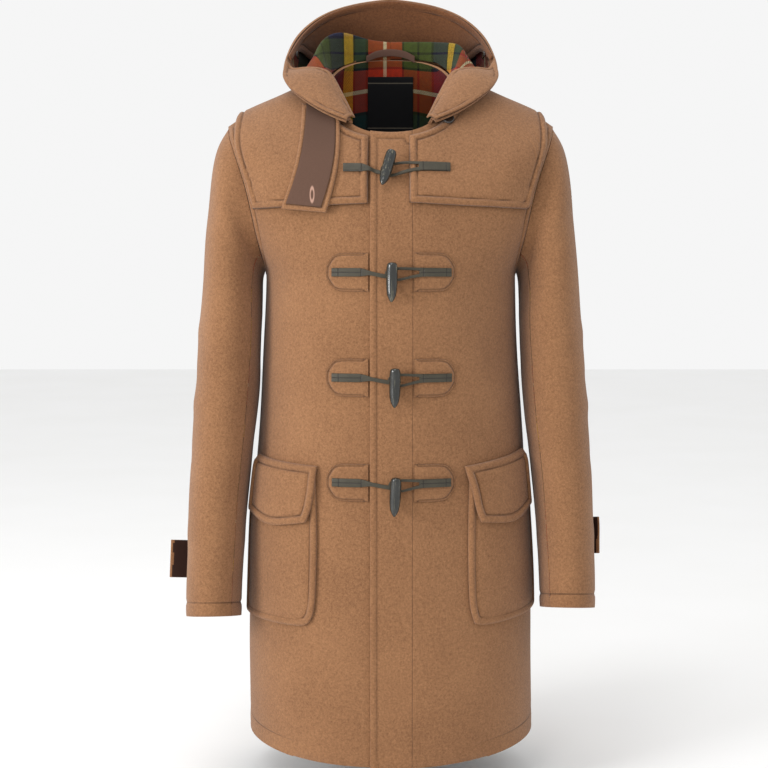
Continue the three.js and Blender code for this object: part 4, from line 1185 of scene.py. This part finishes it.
@dataclass
class Pockets(SubAssembly):
    """Patch pockets under flaps."""

    bag: Seam = Seam(9.5, 2.2, 1.5)
    flap: Seam = Seam(10.0, 2.6, 1.7)

    def pieces(self) -> Iterator[ClothPiece]:
        """Both pockets."""
        for word in ("right", "left"):
            bag = f"pocket_{word}"
            yield ClothPiece(bag, *PLAIN_WOOL, levels=3, seams=(self.bag,),
                             cut=(0.17, 0.22, 0.032), rests_on=(f"front_{word}",))
            yield ClothPiece(f"pocket_flap_{word}", *PLAIN_WOOL, levels=3, seams=(self.flap,),
                             cut=(0.15, 0.08, 0.0103), rests_on=(bag,))


@dataclass
class Fastenings(SubAssembly):
    """Four toggles with their leathers and patches, the throat tab and the neck's trim."""

    patch: Seam = Seam(2.6, 0.2, 0.5, patch_curve)
    tab: Seam = Seam(6.0, 1.4, 0.4)

    def pieces(self) -> Iterator[ClothPiece]:
        """Everything that fastens or trims. The first toggle has no patches."""
        for number in (1, 2, 3, 4):
            for kind in ("strap", "loop"):
                yield ClothPiece(f"toggle_{kind}_{number}", *LEATHER, rounding=0.4)
            yield ClothPiece(f"toggle_{number}", *HORN, rounding=0)
            for word in ("right", "left") if number > 1 else ():
                yield ClothPiece(f"toggle_patch_{word}_{number}", *PATCH_WOOL, levels=3,
                                 rounding=0.5, seams=(self.patch,), sink=1.0,
                                 cut=(0.056, 0.051, 0.0026), rests_on=(f"front_{word}",))
        yield ClothPiece("throat_tab", *PLAIN_WOOL, levels=3, seams=(self.tab,),
                         cut=(0.075, 0.155, 0.0084), rests_on=("shoulder_yoke",))
        yield ClothPiece("throat_tab_backing", *TAB_CLOTH, rounding=0.3,
                         cut=(0.062, 0.15, 0.0063), rests_on=("throat_tab",))
        yield ClothPiece("throat_tab_button", *BUTTON, rounding=0)
        yield ClothPiece("neck_label", *LABEL_CLOTH, Outward.POUCH, rounding=0.2,
                         cut=(0.065, 0.084, 0.0054), rests_on=("back",))
        yield ClothPiece("hanger_loop", *HANGER_CLOTH, Outward.POUCH, rounding=0.4)


@dataclass
class Studio:
    """Floor, light and camera. A lamp has its name, its place, its size and its watts."""

    floor_z: float = -0.96
    floor_size: float = 6.0
    place: tuple = (-0.00902, -2.5, -0.16557)
    down: float = 5.8014
    lens: float = 84.89
    sensor: float = 36.0
    air: float = 0.92
    aim: tuple = (0.0, 0.0, -0.4)
    lamps: tuple = (
        ("key", (-2.4, -1.7, 0.1), 0.9, 50.0),
        ("front", (-0.7, -2.3, 1.3), 0.7, 9.0),
        ("top", (-0.4, -0.4, 2.0), 1.2, 16.0),
    )

    def build(self) -> None:
        """Set the stage."""
        self._floor()
        for name, place, size, power in self.lamps:
            self._lamp(name, place, size, power)
        world = bpy.data.worlds.new("studio")
        world.use_nodes = True
        air = world.node_tree.nodes["Background"].inputs
        air["Color"].default_value = (1, 1, 1, 1)
        air["Strength"].default_value = self.air
        bpy.context.scene.world = world
        bpy.context.scene.view_settings.view_transform = "Standard"
        self._camera()

    def _floor(self) -> None:
        """A flat pale floor that is wide enough to fill the view."""
        sheet = bmesh.new()
        bmesh.ops.create_grid(sheet, x_segments=1, y_segments=1, size=self.floor_size)
        mesh = bpy.data.meshes.new("floor")
        sheet.to_mesh(mesh)
        sheet.free()
        floor = bpy.data.objects.new("floor", mesh)
        floor.location.z = self.floor_z
        bpy.context.scene.collection.objects.link(floor)
        shader = Shader("pale_floor")
        dust = shader.mix(shader.noise(scale=3.0), (0.86, 0.86, 0.85, 1), (0.9, 0.9, 0.9, 1))
        mesh.materials.append(shader.finish(dust, roughness=0.9))

    def _lamp(self, name: str, place: tuple, size: float, power: float) -> None:
        """One soft lamp aimed at the coat.

        Args:
            name: the lamp's name.
            place: where it stands, in metres.
            size: its side, in metres.
            power: its watts.
        """
        lamp = bpy.data.lights.new(name, "AREA")
        lamp.size = size
        lamp.energy = power
        holder = bpy.data.objects.new(name, lamp)
        holder.location = place
        aim = Vector(self.aim) - Vector(place)
        holder.rotation_euler = aim.to_track_quat("-Z", "Y").to_euler()
        bpy.context.scene.collection.objects.link(holder)

    def _camera(self) -> None:
        """The photograph's viewing angle."""
        eye = bpy.data.cameras.new("camera")
        eye.lens = self.lens
        eye.sensor_width = self.sensor
        holder = bpy.data.objects.new("camera", eye)
        holder.location = self.place
        holder.rotation_euler = (math.radians(90 - self.down), 0, 0)
        bpy.context.scene.collection.objects.link(holder)
        bpy.context.scene.camera = holder


def main() -> None:
    """Dress the frame from the body outwards."""
    logging.basicConfig(level=logging.INFO, format="%(message)s")
    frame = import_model()
    wardrobe = Wardrobe()
    wardrobe.cut()
    for part in (Body(), Sleeves(), Hood(), Pockets(), Fastenings()):
        part.build(frame, wardrobe)
        log.info("%s done", type(part).__name__)
    Studio().build()


if __name__ == "__main__":
    main()
